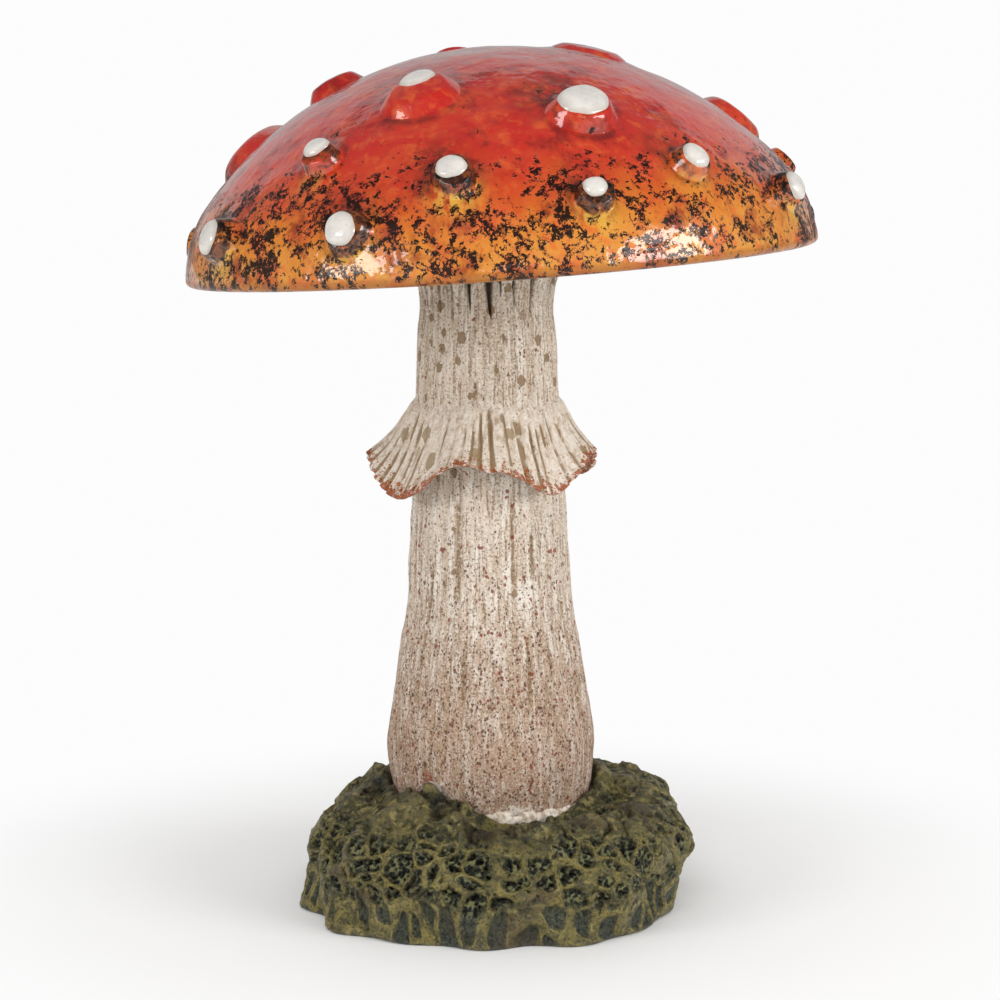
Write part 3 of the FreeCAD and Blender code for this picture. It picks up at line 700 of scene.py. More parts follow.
def wart_height(wart, number, across, below):
    """Height of a wart's glaze over the dome, from places across and downhill of its middle."""
    around = np.degrees(np.arctan2(across, below))
    uneven = 1 + wave(around, (0.06, 2, 77 * number), (0.04, 3, 154 * number))
    reach = np.hypot(across, below) / (wart.size * WART_RADIUS * uneven)
    start = 0.66 + 0.08 * wart.knob
    end = 1.12 - 0.08 * wart.knob
    crown = 1 - (0.32 - 0.10 * wart.knob) * np.minimum(reach, 1) ** 2
    return wart.steep * WART_RISE * crown * (1 - ease(start, end, reach)), reach


def make_cap_skin():
    """Glazed outside of the dome, its lip, and the wall and ledge inside it."""
    rows, columns = 172, 480
    arcs = np.linspace(0, DOME_ARC, rows)[1:]
    away = heading(round_angles(columns))[None]
    out, level = dome_at(arcs, 0)
    grid = away * out[:, None, None] + UP * level[:, None, None]
    lift = dome_skin(grid)
    pool, haze, crease = np.zeros((3, *grid.shape[:2]))
    for wart in WARTS:
        foot, _, downhill, level_way = wart_frame(wart)
        radius = wart.size * WART_RADIUS
        gap = np.linalg.norm(grid - foot, axis=-1) / radius
        lift += (0.55 - 0.25 * wart.knob) * np.exp(-(gap / 1.05) ** 4)
        # crease marks where the glaze paints shade, in the crease round the wart's foot
        crease = np.maximum(crease, np.exp(-((gap - 1.12) / 0.13) ** 2))
        low = np.linalg.norm(grid - foot - downhill * radius * 0.75, axis=-1) / radius
        pool = np.maximum(pool, ease(0.3, 0.7, wart.knob) * np.exp(-(low / 0.95) ** 2))
        if wart.enamel:
            above = grid - foot + downhill * radius * 1.1 + level_way * radius * 0.6
            haze = np.maximum(haze, np.exp(-(np.linalg.norm(above, axis=-1) / radius / 1.05) ** 2))
    grid = on_dome(grid, lift * ease(DOME_ARC, DOME_ARC - 4, arcs)[:, None])

    half_lip = LIP_WALL / 2
    wall = [(CAP_RADIUS - half_lip + half_lip * math.cos(turn), -LIP_DROP * math.sin(turn))
            for turn in np.linspace(0, math.pi, 9)[1:-1]]
    ledge = SHOULDER_CENTRE + math.sqrt((SHOULDER - CAP_WALL) ** 2 - SEAT_RISE ** 2)
    wall += [(CAP_RADIUS - LIP_WALL, 0), (CAP_RADIUS - LIP_WALL, SEAT_RISE), (ledge, SEAT_RISE)]
    wall += list(zip(*dome_at(np.linspace(CROWN_ARC, 2, 8), -CAP_WALL)))
    under = np.array([away[0] * reach + UP * up for reach, up in wall])
    none = np.zeros(under.shape[:2])
    slope = np.concatenate([arcs, np.full(len(wall), DOME_ARC)])[:, None]
    whole = np.concatenate([grid, under])
    marks = {"down": np.broadcast_to(slope / DOME_ARC, whole.shape[:2]), "streak": streak_track(away, slope),
             "knob": np.zeros(whole.shape[:2])}
    for name, values in (("pool", pool), ("haze", haze), ("crease", crease)):
        marks[name] = np.concatenate([values, none])
    finish_with(surface("cap_glaze_skin", with_cap(whole), marks=marks), CAP_GLAZE, "cap_glaze", "cap_dome")


def make_wart(number, wart):
    """Glazed bump with its skirt of glaze running out under the dome's skin."""
    foot, normal, downhill, level_way = wart_frame(wart)
    radius = wart.size * WART_RADIUS
    columns, rows = 72, 46
    turns = np.radians(round_angles(columns))
    reaches = np.linspace(0, 1.32, rows)[1:, None] * radius
    below = reaches * np.cos(turns)
    across = reaches * np.sin(turns)
    flat = foot + below[..., None] * downhill + across[..., None] * level_way
    height, reach = wart_height(wart, number, across, below)
    seat = on_dome(flat, 0)
    rough = 0.10 * cloud(seat, 2.4, number) + 0.10 * cloud(seat, 5, 30 + number)
    lift = height - 0.9 * ease(0.9, 1.3, reach) - 0.12 + rough * ease(1.2, 0.8, reach)
    whole = np.concatenate([seat + normal * lift[..., None], on_dome(flat[-1:], -1.8)])
    up = height / (wart.steep * WART_RISE)
    knob = wart.knob * ease(0.04, 0.38, up) * (0.75 + 0.35 * cloud(seat, 2.5, 60))
    knob = 1.15 * knob * (1 - 0.35 * ease(0.3, 0.9, below / radius))
    pool = ease(0.3, 0.7, wart.knob) * ease(0.0, 0.6, below / radius) * ease(0.6, 0.2, height / WART_RISE)
    arc = down_dome(whole)
    away = whole * np.array([1, 1, 0])
    away = away / np.maximum(np.linalg.norm(away, axis=-1, keepdims=True), 1e-6)
    marks = {"down": np.minimum(arc / DOME_ARC, 0.985), "streak": streak_track(away, arc),
             "pool": np.concatenate([pool, pool[-1:]]), "knob": np.concatenate([knob, knob[-1:]])}
    piece = surface(f"wart_bump_{number:02d}", with_cap(whole), marks=marks)
    finish_with(piece, CAP_GLAZE, "wart_glaze", f"wart_{number:02d}")


def make_enamel_drop(number, wart):
    """Thick drop of enamel that follows the top of its wart."""
    foot, normal, downhill, level_way = wart_frame(wart)
    radius = wart.size * WART_RADIUS
    columns, rows = 64, 22
    angles = round_angles(columns)
    uneven = 1 + wave(angles, (0.05, 2, 50 * number), (0.03, 3, 120 * number), (0.012, 7, 30 * number))
    shares = np.linspace(0, 1, rows)[1:, None] ** 0.8
    reaches = shares * wart.enamel * radius * uneven
    below = reaches * np.cos(np.radians(angles)) - wart.slid * radius
    across = reaches * np.sin(np.radians(angles)) + (DROP_SLIPS.get(number, 0) - 0.35 * wart.slid) * radius
    flat = foot + below[..., None] * downhill + across[..., None] * level_way
    height, _ = wart_height(wart, number, across, below)
    drop = 0.75 * (1 - shares ** 3.2) ** 0.6 * (1 + 0.10 * cloud(flat, 2.5, 80 + number)) - 0.12
    grid = on_dome(flat, 0) + normal * (height + drop)[..., None]
    bottom = on_dome(flat[-1:] * 0.999, 0) + normal * (height[-1:] - 0.6)[..., None]
    edge = np.broadcast_to(np.concatenate([shares, shares[-1:]]), (rows, columns))
    whole = np.concatenate([grid, bottom])
    piece = surface(f"enamel_drop_{number:02d}", with_cap(whole), marks={"edge": edge})
    finish_with(piece, ENAMEL, "white_enamel", f"glaze_dot_{number:02d}")


# Stalk

FOOT_LEVEL = 17.6
FOOT_X, TOP_X = -1.75, -3.05
BULB_RADIUS = 19.45
NECK_TOP = -1.7
SPIGOT_RADIUS, SPIGOT_TOP = 9.0, 4.8
PLUG_RADIUS, PLUG_LEVEL, PLUG_TOP = 16.0, 10.8, 17.5
BORE_RADIUS = 7.0
STALK_TOP = with_cap(np.array([TOP_X, 0, NECK_TOP]))
STALK_LENGTH = STALK_TOP[2] - FOOT_LEVEL
# Rows of a share of the stalk's length and a share of the bulb's radius there.
STALK_SHARES = (
    (0.0, .925), (.03, .95), (.074, .985), (.123, 1.0), (.204, .948), (.296, .873), (.38, .795),
    (.523, .752), (.666, .704), (.804, .674), (.893, .645), (.942, .632), (.972, .662), (1.0, .715),
)
# Each row is a long groove: its angle, its lower and upper ends and how far it leans, in degrees.
STALK_SLITS = (
    (-24, 57, 77.5, 1), (16.5, 60, 77, 0), (31, 62, 72, 0), (25, 38, 53, -1), (-45, 38, 66, -4),
    (-17, 38, 50, 1), (-10, 88, 100, 1), (60, 36, 62, 2), (78, 58, 74, 0), (96, 30, 50, 1),
    (118, 50, 72, -2), (141, 34, 58, 0), (163, 56, 74, 1), (-172, 36, 60, -1), (-150, 52, 70, 0),
    (-131, 30, 52, 2), (-112, 56, 75, 0), (-88, 40, 60, -2), (-68, 58, 73, 1),
)
# Each row is a notch under the cap: its angle, its lower end and half its width at the top.
STALK_NOTCHES = (
    (-43, 111, 0.70), (-29, 112.5, 0.50), (-14, 111.5, 0.95), (3, 110, 0.95), (13, 113, 0.5), (24, 112, 0.6),
    (42, 111, 0.8), (66, 112, 0.4), (88, 113, 0.3), (112, 111, 0.5), (139, 113, 0.3), (160, 112, 0.5),
    (184, 114, 0.3), (207, 111, 0.5), (229, 113, 0.3), (252, 112, 0.4), (275, 113, 0.3), (298, 112, 0.4),
)
NECK_RADIUS = 12.6


def stalk_centre(level):
    """Points at some levels on the middle line of the stalk, which leans."""
    share = (level - FOOT_LEVEL) / STALK_LENGTH
    x = FOOT_X + share * (STALK_TOP[0] - FOOT_X)
    return np.stack([x, np.zeros_like(x), level], axis=-1)


def stalk_radius(level):
    """Radius of the stalk at some levels, without its grooves."""
    return BULB_RADIUS * soft_curve(STALK_SHARES, (level - FOOT_LEVEL) / STALK_LENGTH)


def stalk_ring(away, radius, level):
    """Level ring of points round the stalk's middle line."""
    return stalk_centre(np.broadcast_to(level, away.shape[:1])) + away * radius


def cap_ring(away, radius, level):
    """Ring round the stalk's top, in the cap's frame."""
    return away * radius + np.array([TOP_X, 0, level])


def combed(away, level, close, seed):
    """Groove depth from 0 to 1 of a comb drawn down the clay, in lines close millimetres apart."""
    track = away * 17.0 + level[..., None] * UP * 0.05
    track = track + 0.5 * cloud(track, 14, seed + 1)[..., None]
    return ease(0.28, 0.0, np.abs(cloud(track, close, seed)))


def cut_slits(angles, level, wobble):
    """Depth from 0 to 1 of the long grooves."""
    depth = np.zeros_like(level)
    for angle, low, high, lean in STALK_SLITS:
        line = angle + lean * (high - level) / (high - low) + wobble
        off = turn_from(line, angles) * stalk_radius(level) * math.pi / 180
        track = level[..., None] * np.array([1.0, 0, 0]) + UP * angle
        width = 0.50 + 0.16 * cloud(track, 2.0, 7)
        depth = np.maximum(depth, ease(width, width * 0.4, np.abs(off)) * ease(low, low + 3, level)
                           * ease(high, high - 1.5, level))
    return depth


def cut_notches(angles, level, wobble, ragged):
    """Depth from 0 to 1 of the notches under the cap, in clay that is ragged there."""
    depth = ragged
    for angle, low, width in STALK_NOTCHES:
        off = turn_from(angle, angles + 3 * wobble) * NECK_RADIUS * math.pi / 180
        taper = width * ease(low - 1, low + 7, level) + 0.01
        depth = np.maximum(depth, ease(taper, taper * 0.4, np.abs(off)) * ease(low, low + 2, level))
    return depth


def make_carved_stalk():
    """Combed and slit stalk with the plug under its foot and the spigot on its top."""
    columns, rows = 432, 204
    angles = round_angles(columns)
    away = heading(angles)
    levels = FOOT_LEVEL + np.linspace(0, 1, rows) * STALK_LENGTH
    level = np.broadcast_to(levels[:, None], (rows, columns))
    share = (level - FOOT_LEVEL) / STALK_LENGTH
    ray = np.broadcast_to(away, (rows, columns, 3))
    fine = combed(ray, level, 1.25, 3)
    broad = combed(ray, level, 3.6, 13)
    wobble = 0.9 * cloud(level[..., None] * np.array([0, 1.0, 0]), 9, 77)
    slits = cut_slits(angles, level, wobble)
    ragged = 0.3 * ease(0.15, 0.62, cloud(ray * 14.0, 2.6, 71)) * ease(0.90, 1.0, share)
    notch = cut_notches(angles, level, wobble, ragged)
    point = stalk_centre(level) + ray * stalk_radius(level)[..., None]
    lumps = 0.22 * cloud(point, 7, 5) + 0.10 * cloud(point, 2.5, 6)
    pores = ease(0.62, 0.80, cloud(point, 1.3, 8))
    depth = 0.24 * fine + 0.18 * broad + 0.35 * slits + 1.5 * notch + 0.25 * pores - lumps
    near_top = ease(0.93, 1.0, share)
    flare = 1.6 * hump(angles, 70, 40) * near_top
    grid = point - ray * (depth - 0.15 - flare)[..., None]
    tilted = STALK_TOP[2] + (grid[..., 0] - STALK_TOP[0]) * math.tan(CAP_TILT)
    grid[..., 2] += near_top * (tilted - level)
    plug = [stalk_ring(away, radius, at) for radius, at in (
        (BORE_RADIUS, PLUG_LEVEL), (PLUG_RADIUS, PLUG_LEVEL), (PLUG_RADIUS, PLUG_TOP))]
    spigot = [with_cap(cap_ring(away, radius, at)) for radius, at in (
        (SPIGOT_RADIUS, NECK_TOP), (SPIGOT_RADIUS, SPIGOT_TOP), (BORE_RADIUS, SPIGOT_TOP))]
    whole = np.concatenate([plug, grid, spigot])
    spread = np.broadcast_to(angles, level.shape)
    front_crust = hump(spread, 14, 20) * ease(23.5, 20.0, level)
    side_crust = hump(spread, -30, 12) * ease(27, 25, level) * 0.7
    # The notch mark also carries the painted shade in the notches
    marks = {"hollow": np.clip(0.35 * fine + 0.2 * broad + 1.0 * slits, 0, 1), "notch": notch,
             "stain": hump(spread, -38, 8) * np.exp(-((level - 26) / 2.6) ** 2),
             "crust": np.maximum(front_crust, side_crust)}
    marks = {key: np.pad(values, ((3, 3), (0, 0)))[::-1] for key, values in marks.items()}
    piece = surface("carved_stalk", whole[::-1], joined=True, marks=marks)
    finish_with(piece, STALK_BISQUE, "stalk_bisque", "stalk")


# Ring

SKIRT_LEVEL = 96.0
SKIRT_FALL = 14.2
SKIRT_FLARE = 7.0
SKIRT_GAP = 0.2
SKIRT_PRESSED = 1.1


def make_pleated_ring():
    """Frilled ring: pleated outside, ragged hem and a smooth wall against the stalk."""
    columns = 480
    angles = round_angles(columns)
    away = heading(angles)
    crowded = angles + 5.0 * np.cos(np.radians(angles - 80)) + 52
    fall = SKIRT_FALL + 3.3 * (np.cos(np.radians(4 * crowded))
                               + wave(angles, (0.12, 7, 40), (0.08, 11, 0), (-0.3, 1, -60)))
    fall = fall + 0.34 * cloud(away * 20, 2.2, 3) + 0.35 * cloud(away * 20, 5, 8)
    reach = 1 + wave(angles, (0.06, 3, 0), (0.05, 5, 60), (0.13, 1, 90))

    def ring(share, wall):
        """Ring of points at a share of the way down, a wall's thickness outward of the inside."""
        level = SKIRT_LEVEL - share * fall
        flared = stalk_radius(np.array(SKIRT_LEVEL)) + SKIRT_GAP + SKIRT_FLARE * reach * share ** 1.9 + wall
        radius = np.maximum(flared, stalk_radius(level) + SKIRT_GAP + wall)
        return stalk_centre(level) + away * radius[:, None]

    def pressed_on(shares):
        """How far the clay is pressed into the stalk, which blends the ring's top into it."""
        return away * (SKIRT_PRESSED * (1 - ease(-0.05, 0.2, shares)))[:, None, None]

    shares = np.linspace(-0.05, 1, 92)
    track = away[None] * 20 + shares[:, None, None] * UP * 1.6
    track = track + 0.5 * cloud(track, 6, 21)[..., None]
    turning = angles[None] * 50 * math.pi / 180 + 6.5 * cloud(track, 5, 2)
    strong = np.clip(0.55 + 1.0 * cloud(track * np.array([1, 1, 2.5]), 3.0, 31), 0.15, 1)
    pleat = ease(0.45, 0.98, 0.5 + 0.5 * np.cos(turning)) * strong
    crease = ease(0.24, 0.0, np.abs(cloud(track, 1.3, 12)))
    grow = ease(0.08, 0.34, shares[:, None] + 0.14 * cloud(away * 20, 2.6, 45))
    hollow = np.clip(1.0 * pleat + 0.5 * crease, 0, 1) * (0.08 + 0.92 * grow)
    outside = np.array([ring(max(share, 0), 0.4 + 0.8 * ease(0, 0.45, share)) for share in shares])
    outside += UP * np.maximum(-shares * 14, 0)[:, None, None] - pressed_on(shares)
    relief = 0.62 * pleat * (0.1 + 0.9 * grow) + 0.26 * crease - 0.12 * cloud(outside, 2.0, 9)
    outside -= away * relief[..., None]
    back = np.linspace(1, 0, 36)
    inside = np.array([ring(share, 0.0) for share in back]) - pressed_on(back)
    inside -= away * 0.25 * cloud(inside, 3, 5)[..., None]
    lip = (outside[-1:] + inside[:1]) / 2 - UP * 0.35
    whole = np.concatenate([outside, lip, inside])
    across = (1, columns)
    marks = {
        "hollow": np.concatenate([hollow, np.zeros((1 + len(back), columns))]),
        "hem": np.tile(np.concatenate([shares, [1], back ** 3])[:, None], across),
        # under is 1 on the inside wall, where painted shade goes
        "under": np.tile(np.concatenate([0 * shares, [0], np.ones(len(back))])[:, None], across),
    }
    piece = surface("pleated_ring", whole, joined=True, marks=marks)
    finish_with(piece, RING_BISQUE, "ring_bisque", "ring_skirt")


# Ground

BASE_RADIUS = 37.8
BASE_OFFSET = -2.1
BASE_RISE = 20.0
BASE_WALL = 7.5
BASE_RECESS = 6.6
SEAT_RADIUS = BULB_RADIUS + 0.3
SOCKET_RADIUS = PLUG_RADIUS + 0.1
SOCKET_LEVEL, SOCKET_TOP = 10.7, 16.8
# Rows up the side: the shares of the rise and of the plan's radius, and the shift towards +X.
GROUND_SHARES = (
    (0.0, 0.955, -0.01), (0.06, 0.985, -0.01), (0.3, 0.985, 0.015), (0.52, 1.0, 0.045), (0.7, 0.975, 0.05),
    (0.86, 0.92, 0.06), (0.985, 0.815, 0.07), (1.06, 0.72, 0.05),
)
# Rings over the crest: the distance out from the seat and the drop below the crest.
CREST_RINGS = ((0, 0.7), (1.1, 0), (3.5, 2.0))
# Heaps round the foot: the angle, the width in degrees and the share of the rise.
MOSS_HEAPS = ((-34, 28, 0.17), (95, 32, 0.17), (-98, 30, 0.17), (172, 40, 0.2), (16, 24, -0.12))


def resample(rings, rows):
    """Evenly spaced rows on smooth lines through the rings, column by column."""
    count = len(rings)
    fine = np.linspace(0, count - 1, 12 * (count - 1) + 1)
    index = np.minimum(fine.astype(int), count - 2)
    t = (fine - index)[:, None, None]
    before, after = rings[np.maximum(index - 1, 0)], rings[np.minimum(index + 2, count - 1)]
    start, end = rings[index], rings[index + 1]
    line = 0.5 * (2 * start + (end - before) * t + (2 * before - 5 * start + 4 * end - after) * t ** 2
                  + (3 * start - before - 3 * end + after) * t ** 3)
    length = np.concatenate([np.zeros((1, line.shape[1])),
                             np.cumsum(np.linalg.norm(np.diff(line, axis=0), axis=-1), axis=0)])
    result = np.empty((rows, line.shape[1], 3))
    for column in range(line.shape[1]):
        at = np.linspace(0, length[-1, column], rows)
        for axis in range(3):
            result[:, column, axis] = np.interp(at, length[:, column], line[:, column, axis])
    return result


def ground_rings(angles, away):
    """Rings of the ground's outside, from the stalk's foot over the heaps and down to the floor."""
    plan = BASE_RADIUS * (1 + wave(angles, (-0.03, 4, 15), (0.012, 9, 30), (-0.01, 13, 100), (0.015, 1, -90),
                                   (-0.027, 2, 180)))
    crest = BASE_RISE * (1.03 + sum(rise * hump(angles, centre, width) for centre, width, rise in MOSS_HEAPS))
    crest = crest + 0.5 * cloud(away * 20, 4.5, 3) + 0.35 * cloud(away * 20, 1.6, 5)
    rings = [stalk_ring(away, SEAT_RADIUS + out, crest - drop) for out, drop in CREST_RINGS]
    for up, out, shift in reversed(GROUND_SHARES):
        lumps = 1 + 0.6 * (up - up * up)
        cobbles = 1 + wave(angles, (0.021, 15, 400 * up), (0.012, 11, 90 - 300 * up))
        middle = np.array([BASE_OFFSET + shift * BASE_RADIUS, 0, up * BASE_RISE])
        rings.append(middle + away * (plan * (1 + (out - 1) * lumps) * cobbles)[:, None])
    return np.array(rings)


def make_moss_ground():
    """Modelled ground with holes in its side, folds on top, a socket and a hollow underneath."""
    columns, rows = 600, 158
    angles = round_angles(columns)
    away = heading(angles)
    grid = resample(ground_rings(angles, away), rows)
    normal = outward(grid)
    level = grid[..., 2]
    top = 1 - ease(BASE_RISE * 0.95, BASE_RISE * 0.6, level)
    leaf = 0.9 * ease(17, 20.5, level + 2.5 * cloud(grid, 7, 12)) * top
    low = ease(9.0, 5.5, level + 1.5 * cloud(grid, 8, 2))
    warped = grid + 1.3 * np.stack([cloud(grid, 5, seed) for seed in (31, 32, 33)], axis=-1)

    # Round holes in the side, and tall smooth hollows near the floor
    first, border, owner = cells(warped, 4.9, 17)
    hole = ease(0.04, 0.19, border) * ease(0.84, 0.62, first) * (owner > 0.06) * (1 - 0.75 * leaf)
    first_low, border_low, owner_low = cells(warped * np.array([1, 1, 0.48]), 3.9, 23)
    hole_low = ease(0.05, 0.28, border_low) * ease(0.84, 0.62, first_low) * (owner_low > 0.10)
    inside = hole * (1 - low) + hole_low * low
    crumbs, _, crumb_owner = cells(warped, 1.25, 41)
    pit = ease(0.58, 0.28, crumbs) * (crumb_owner > 0.20) * inside * (1 - 0.85 * low)
    pock = ease(0.42, 0.20, crumbs) * (crumb_owner > 0.86) * (1 - inside) * (1 - low)

    # Folds that run out from the stalk over the top
    flow = away[None] * 24 + np.hypot(grid[..., 0], grid[..., 1])[..., None] * UP * 0.32
    flow = flow + 1.6 * (warped - grid)
    folds = ease(0.45, 0.0, np.abs(cloud(flow, 8.0, 55)))
    gaps = ease(0.17, 0.0, np.abs(cloud(flow, 5.0, 56)))
    lines = np.sin(2 * math.pi * cloud(flow, 10, 66) * 3.0)

    height = (0.25 * cloud(grid, 11, 1) + 0.5 * cloud(grid, 4.5, 7)
              - 0.85 * hole * (1 - low) * (0.6 + 0.6 * owner) - 0.75 * hole_low * low
              - 1.0 * pit - 0.5 * pock + leaf * (1.1 * folds - 1.5 * gaps + 0.30 * lines)
              + 0.16 * cloud(grid, 1.1, 91) + 0.25 * cloud(grid, 2.3, 92) - 0.35)
    edge = ease(0.0, 1.2, level) * ease(0, 4, np.arange(rows))[:, None]
    grid = grid + normal * (height * edge)[..., None]
    grid[..., 2] = np.maximum(grid[..., 2], 0)
    socket = [stalk_ring(away, radius, at) for radius, at in (
        (SOCKET_RADIUS, SOCKET_LEVEL), (SOCKET_RADIUS, SOCKET_TOP), (SEAT_RADIUS, SOCKET_TOP))]
    recess = [grid[-1] - away * BASE_WALL, grid[-1] - away * BASE_WALL * 1.2 + UP * BASE_RECESS]
    marks = {"inside": inside, "ridge": 0.3 * leaf * ease(0.72, 1.0, folds) * (1 - gaps),
             # pit marks the painted shade in the pits, pocks and gaps between the folds
             "pit": np.clip(pit + pock + 0.9 * leaf * gaps, 0, 1), "leaf": leaf,
             "crumbly": np.clip(1 - 0.85 * low - 0.5 * leaf, 0, 1)}
    marks = {key: np.pad(values, ((3, 2), (0, 0))) for key, values in marks.items()}
    piece = surface("moss_ground", np.concatenate([socket, grid, recess]), marks=marks)
    finish_with(piece, MOSS_PAINT, "moss_paint", "moss_base")


def make_foot_crust():
    """Lumpy bead of cement between the stalk and the moss."""
    columns, rows = 300, 18
    bead_radius, bead_level = 19.1, 19.0
    half_width, half_height = 0.75, 1.5
    away = heading(round_angles(columns))
    lumps = 0.75 + 0.35 * cloud(away * 19, 2.2, 5) + 0.25 * cloud(away * 19, 0.9, 6)
    rings = []
    for turn in np.linspace(0, 2 * math.pi, rows, endpoint=False)[::-1]:
        radius = bead_radius + half_width * math.cos(turn) * lumps
        level = bead_level + half_height * math.sin(turn) * lumps
        rings.append(stalk_ring(away, radius[:, None], level))
    grid = np.array(rings)
    grid += 0.12 * cloud(grid, 0.9, 4)[..., None] * away
    finish_with(surface("foot_crust", grid, joined=True), CEMENT, "cement", "foot_cement")


# Gills

DISC_RADIUS = 55.2
DISC_TOP = 5.9
GILL_ROOT = 2.4
GILL_LOW = -0.7
GILL_START, GILL_END = 11.0, DISC_RADIUS - 0.6
GILL_HALF = 0.48
GILL_SWAY = 0.35
HUB_RADIUS = 15.5
HUB_LOW = -1.4
HUB_BORE = SPIGOT_RADIUS + 0.1
HUB_EDGE = ((14.5, -0.6), (13.7, HUB_LOW), (HUB_BORE, HUB_LOW))
# Named inputs of the tree that sets the gills out.
GILL_INPUTS = {"Count": 48, "Middle length": 0.55, "Small length": 0.24, "Unevenness": 0.25, "Seed": 3,
               "Rim": DISC_RADIUS * MM}


def make_gill_blade():
    """One gill along +X: thin, waved, and thinner at its lower edge."""
    length, drop, rooted = 22, 6, 0.8
    along = np.linspace(0, 1, length)
    table = ((0.0, 0.74), (0.16, 0.76), (0.3, 0.92), (0.74, 1.0), (0.985, 0.35))
    depth = soft_curve(table, np.minimum(along, 0.985)) * (GILL_ROOT - GILL_LOW) + rooted
    down = np.linspace(0, 1, drop)
    half = GILL_HALF * (1 - 0.55 * down)
    rings = []
    for share, deep in zip(along, depth):
        x = GILL_START + share * (GILL_END - GILL_START)
        sway = GILL_SWAY * math.sin(share * 14) * ease(0.0, 0.2, share)
        one, two = ([(x, sway * d + side * h, GILL_ROOT + rooted - d * deep) for d, h in zip(down, half)]
                    for side in (1, -1))
        rings.append(one + two[::-1])
    return np.array(rings)


def make_gill_tree(material):
    """Gills set round the disc: long ones, shorter ones between and small ones at the rim."""
    tree = bpy.data.node_groups.new("gills_round_disc", "GeometryNodeTree")
    tree.is_modifier = True
    tree.interface.new_socket("Gill", in_out="INPUT", socket_type="NodeSocketGeometry")
    for label, start in GILL_INPUTS.items():
        kind = "NodeSocketInt" if isinstance(start, int) else "NodeSocketFloat"
        tree.interface.new_socket(label, in_out="INPUT", socket_type=kind).default_value = start
    tree.interface.new_socket("Gills", in_out="OUTPUT", socket_type="NodeSocketGeometry")

    def made(kind, inputs=None, **settings):
        """First result of a new node in the tree."""
        return put(tree, kind, inputs, **settings).outputs[0]

    def calc(operation, first, second):
        """Result of a sum with two numbers or sockets."""
        return made("ShaderNodeMath", {0: first, 1: second}, operation=operation)

    given = put(tree, "NodeGroupInput").outputs
    index = made("GeometryNodeInputIndex")
    join = put(tree, "GeometryNodeJoinGeometry")

    def gill_round(count, offset, length, depth, seed):
        """Count gills round the disc, offset by a share of a step, cut to a share of the length."""
        step = calc("DIVIDE", 2 * math.pi, count)
        limits = {2: -0.5, 3: 0.5, "Seed": seed}
        jitter = put(tree, "FunctionNodeRandomValue", limits, data_type="FLOAT").outputs[1]
        share = calc("ADD", calc("ADD", index, offset), calc("MULTIPLY", jitter, given["Unevenness"]))
        turn = made("ShaderNodeCombineXYZ", {"Z": calc("MULTIPLY", share, step)})
        short = made("ShaderNodeCombineXYZ", {"X": length, "Y": 1.0, "Z": depth})
        out = calc("MULTIPLY", calc("SUBTRACT", 1.0, length), given["Rim"])
        up = calc("MULTIPLY", calc("SUBTRACT", 1.0, depth), GILL_ROOT * MM)
        move = made("ShaderNodeCombineXYZ", {"X": out, "Z": up})
        cut = made("GeometryNodeTransform", {"Geometry": given["Gill"], "Translation": move, "Scale": short})
        spots = made("GeometryNodePoints", {"Count": count})
        rotation = made("FunctionNodeEulerToRotation", {0: turn})
        gills = {"Points": spots, "Instance": cut, "Rotation": rotation}
        tree.links.new(made("GeometryNodeInstanceOnPoints", gills), join.inputs[0])

    gill_round(given["Count"], 0.0, 1.0, 1.0, given["Seed"])
    gill_round(given["Count"], 0.5, given["Middle length"], 0.92, calc("ADD", given["Seed"], 1))
    gill_round(calc("MULTIPLY", given["Count"], 2), 0.5, given["Small length"], 0.75,
               calc("ADD", given["Seed"], 2))
    real = made("GeometryNodeRealizeInstances", {"Geometry": join.outputs[0]})
    painted = made("GeometryNodeSetMaterial", {"Geometry": real, "Material": material})
    put(tree, "NodeGroupOutput", {0: painted})
    return tree


def make_gills():
    """Gills as one plain mesh, under the cap."""
    blade = surface("gill_blade", make_gill_blade())
    modifier = blade.modifiers.new("gills", "NODES")
    modifier.node_group = make_gill_tree(GILL_BISQUE)
    for socket in modifier.node_group.interface.items_tree:
        if socket.in_out == "INPUT" and socket.name in GILL_INPUTS:
            modifier[socket.identifier] = GILL_INPUTS[socket.name]
    bpy.context.view_layer.update()
    graph = bpy.context.evaluated_depsgraph_get()
    mesh = bpy.data.meshes.new_from_object(blade.evaluated_get(graph))
    bpy.data.objects.remove(blade)
    mesh.transform(Matrix.Translation((0, 0, CAP_LEVEL * MM)) @ Matrix.Rotation(-CAP_TILT, 4, "Y"))
    mesh.name = "gills"
    mesh.materials.clear()
    finish_with(place("gills", mesh), GILL_BISQUE, "gill_bisque", "gill_disc")


def make_gill_plate():
    """Disc that the gills stand on, with the hub that takes the stalk's spigot."""
    away = heading(round_angles(240))
    rings = [cap_ring(away, HUB_BORE, DISC_TOP), away * DISC_RADIUS + UP * DISC_TOP,
             away * DISC_RADIUS + UP * GILL_ROOT]
    for share in np.linspace(0, 1, 30)[1:]:
        radius = DISC_RADIUS + share * (HUB_RADIUS - DISC_RADIUS)
        ring = away * radius + np.array([share * TOP_X, 0, GILL_ROOT])
        rings.append(ring + UP * 0.25 * cloud(ring, 4, 3)[:, None])
    for radius, level in HUB_EDGE:
        rings.append(cap_ring(away, radius, level))
    plate = surface("gill_plate", with_cap(np.array(rings)), joined=True)
    finish_with(plate, GILL_BISQUE, "gill_bisque")


# Stage: floor, lights and camera


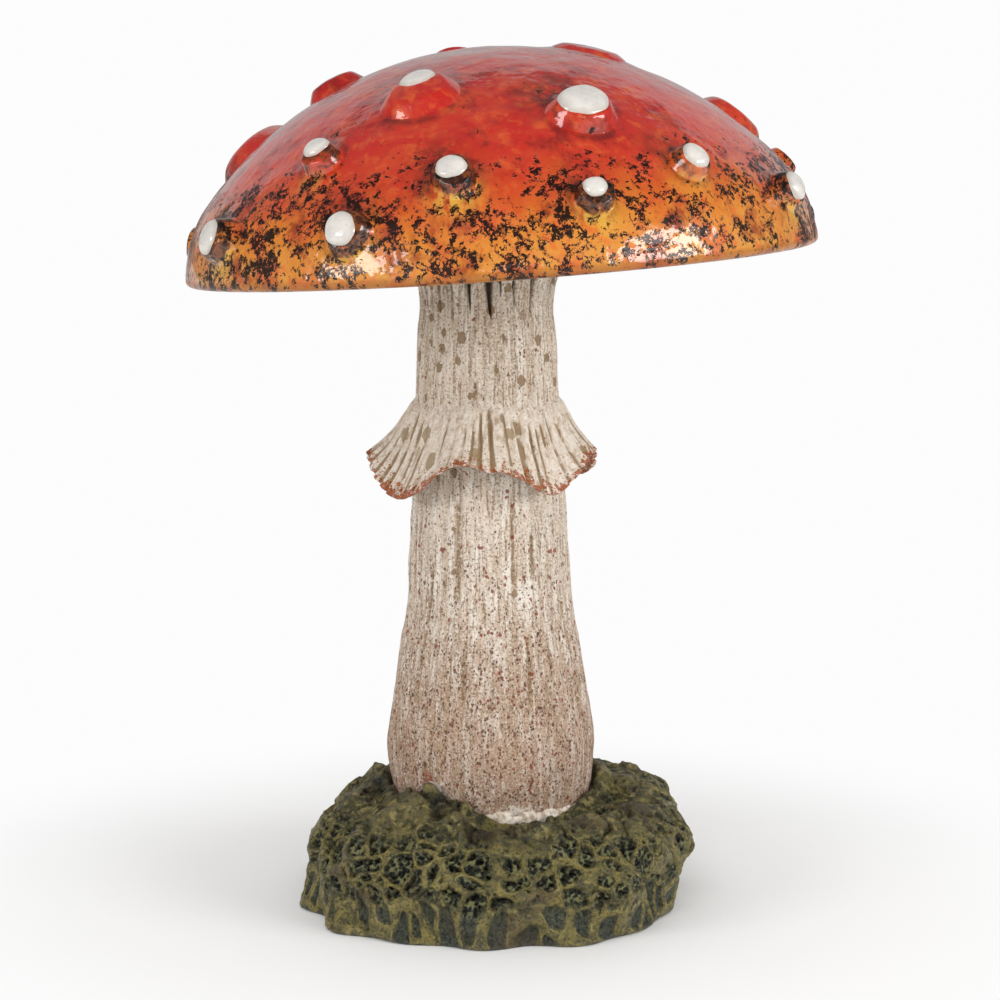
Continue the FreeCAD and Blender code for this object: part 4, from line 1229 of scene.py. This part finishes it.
def make_floor():
    """Pale floor that fades into the white behind it, away from the ornament."""
    mesh = bpy.data.meshes.new("floor")
    mesh.from_pydata([(-4, -4, 0), (4, -4, 0), (4, 4, 0), (-4, 4, 0)], [], [(0, 1, 2, 3)])
    floor = bpy.data.objects.new("floor", mesh)
    bpy.context.scene.collection.objects.link(floor)
    paper = Finish("floor_paper")
    paper.colour = paper.mix(paper.grain(paper.where, 0.02, 2.0), "f4f4f4", "f1f1f1")
    mesh.materials.append(paper.done({"Roughness": 0.95, "Specular IOR Level": 0.0}))
    away = paper.node("VectorMath", {0: paper.where}, operation="LENGTH").outputs["Value"]
    glow = paper.times(paper.node("LightPath").outputs["Is Camera Ray"], paper.ramp(away, 55.0, 140.0))
    white = paper.node("Emission", {"Color": (1, 1, 1, 1), "Strength": 0.98}).outputs[0]
    both = paper.node("MixShader", {0: glow, 1: paper.shader.outputs[0], 2: white}).outputs[0]
    feed(paper.tree, paper.tree.nodes["Material Output"], {"Surface": both})


def make_world():
    """White studio: bright to the camera, softer as light and dim in reflections."""
    world = bpy.data.worlds.new("studio")
    bpy.context.scene.world = world
    world.use_nodes = True
    air = Effect(world.node_tree)
    path = air.node("LightPath").outputs
    seen = air.node("MapRange", {"Value": path["Is Camera Ray"], "To Min": 0.65, "To Max": 0.98}).outputs[0]
    strength = air.node("Mix", {0: path["Is Glossy Ray"], 2: seen, 3: 0.17}).outputs[0]
    feed(air.tree, air.tree.nodes["Background"], {"Color": (1, 1, 1, 1), "Strength": strength})


# Soft lights: the name, the place, what it points at, the width, the height and the power.
SOFT_LIGHTS = (
    ("right_box", (0.66, -0.42, 0.30), (0, 0, 0.10), 0.50, 0.20, 3.2),
    ("left_box", (-0.58, -0.47, 0.28), (0, 0, 0.10), 0.36, 0.18, 1.6),
    ("front_box", (-0.15, -0.95, 0.95), (0, 0, 0.10), 0.9, 0.5, 3.9),
    ("low_box", (0.06, -0.80, 0.24), (0, 0, 0.12), 0.26, 0.05, 0.13),
    ("back_box", (0.0, 0.90, 0.55), (0, 0, 0.10), 1.6, 0.8, 1.3),
)


def make_lights():
    """Soft lights round the ornament, which the camera doesn't see; the front one has no reflection."""
    for name, stand, target, width, height, power in SOFT_LIGHTS:
        data = bpy.data.lights.new(name, "AREA")
        data.shape = "RECTANGLE"
        data.size = width
        data.size_y = height
        data.energy = power
        light = bpy.data.objects.new(name, data)
        light.location = stand
        light.rotation_euler = (Vector(target) - Vector(stand)).to_track_quat("-Z", "Y").to_euler()
        light.visible_glossy = name != "front_box"
        light.visible_camera = False
        bpy.context.scene.collection.objects.link(light)


def make_camera():
    """Camera fitted to the outline in the photo."""
    data = bpy.data.cameras.new("photo_camera")
    data.lens = 99.54
    data.sensor_width = 36
    camera = bpy.data.objects.new("photo_camera", data)
    camera.location = (-0.00028, -0.513, 0.147)
    camera.rotation_euler = (math.radians(82.09), 0, 0)
    bpy.context.scene.collection.objects.link(camera)
    bpy.context.scene.camera = camera
    bpy.context.scene.view_settings.view_transform = "Standard"


make_camera()
make_floor()
make_world()
make_lights()
make_cap_skin()
for number, wart in enumerate(WARTS, start=1):
    make_wart(number, wart)
    if wart.enamel:
        make_enamel_drop(number, wart)
make_carved_stalk()
make_pleated_ring()
make_moss_ground()
make_foot_crust()
make_gills()
make_gill_plate()
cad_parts["cap_cement"].data.materials.clear()
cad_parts["cap_cement"].data.materials.append(CEMENT)
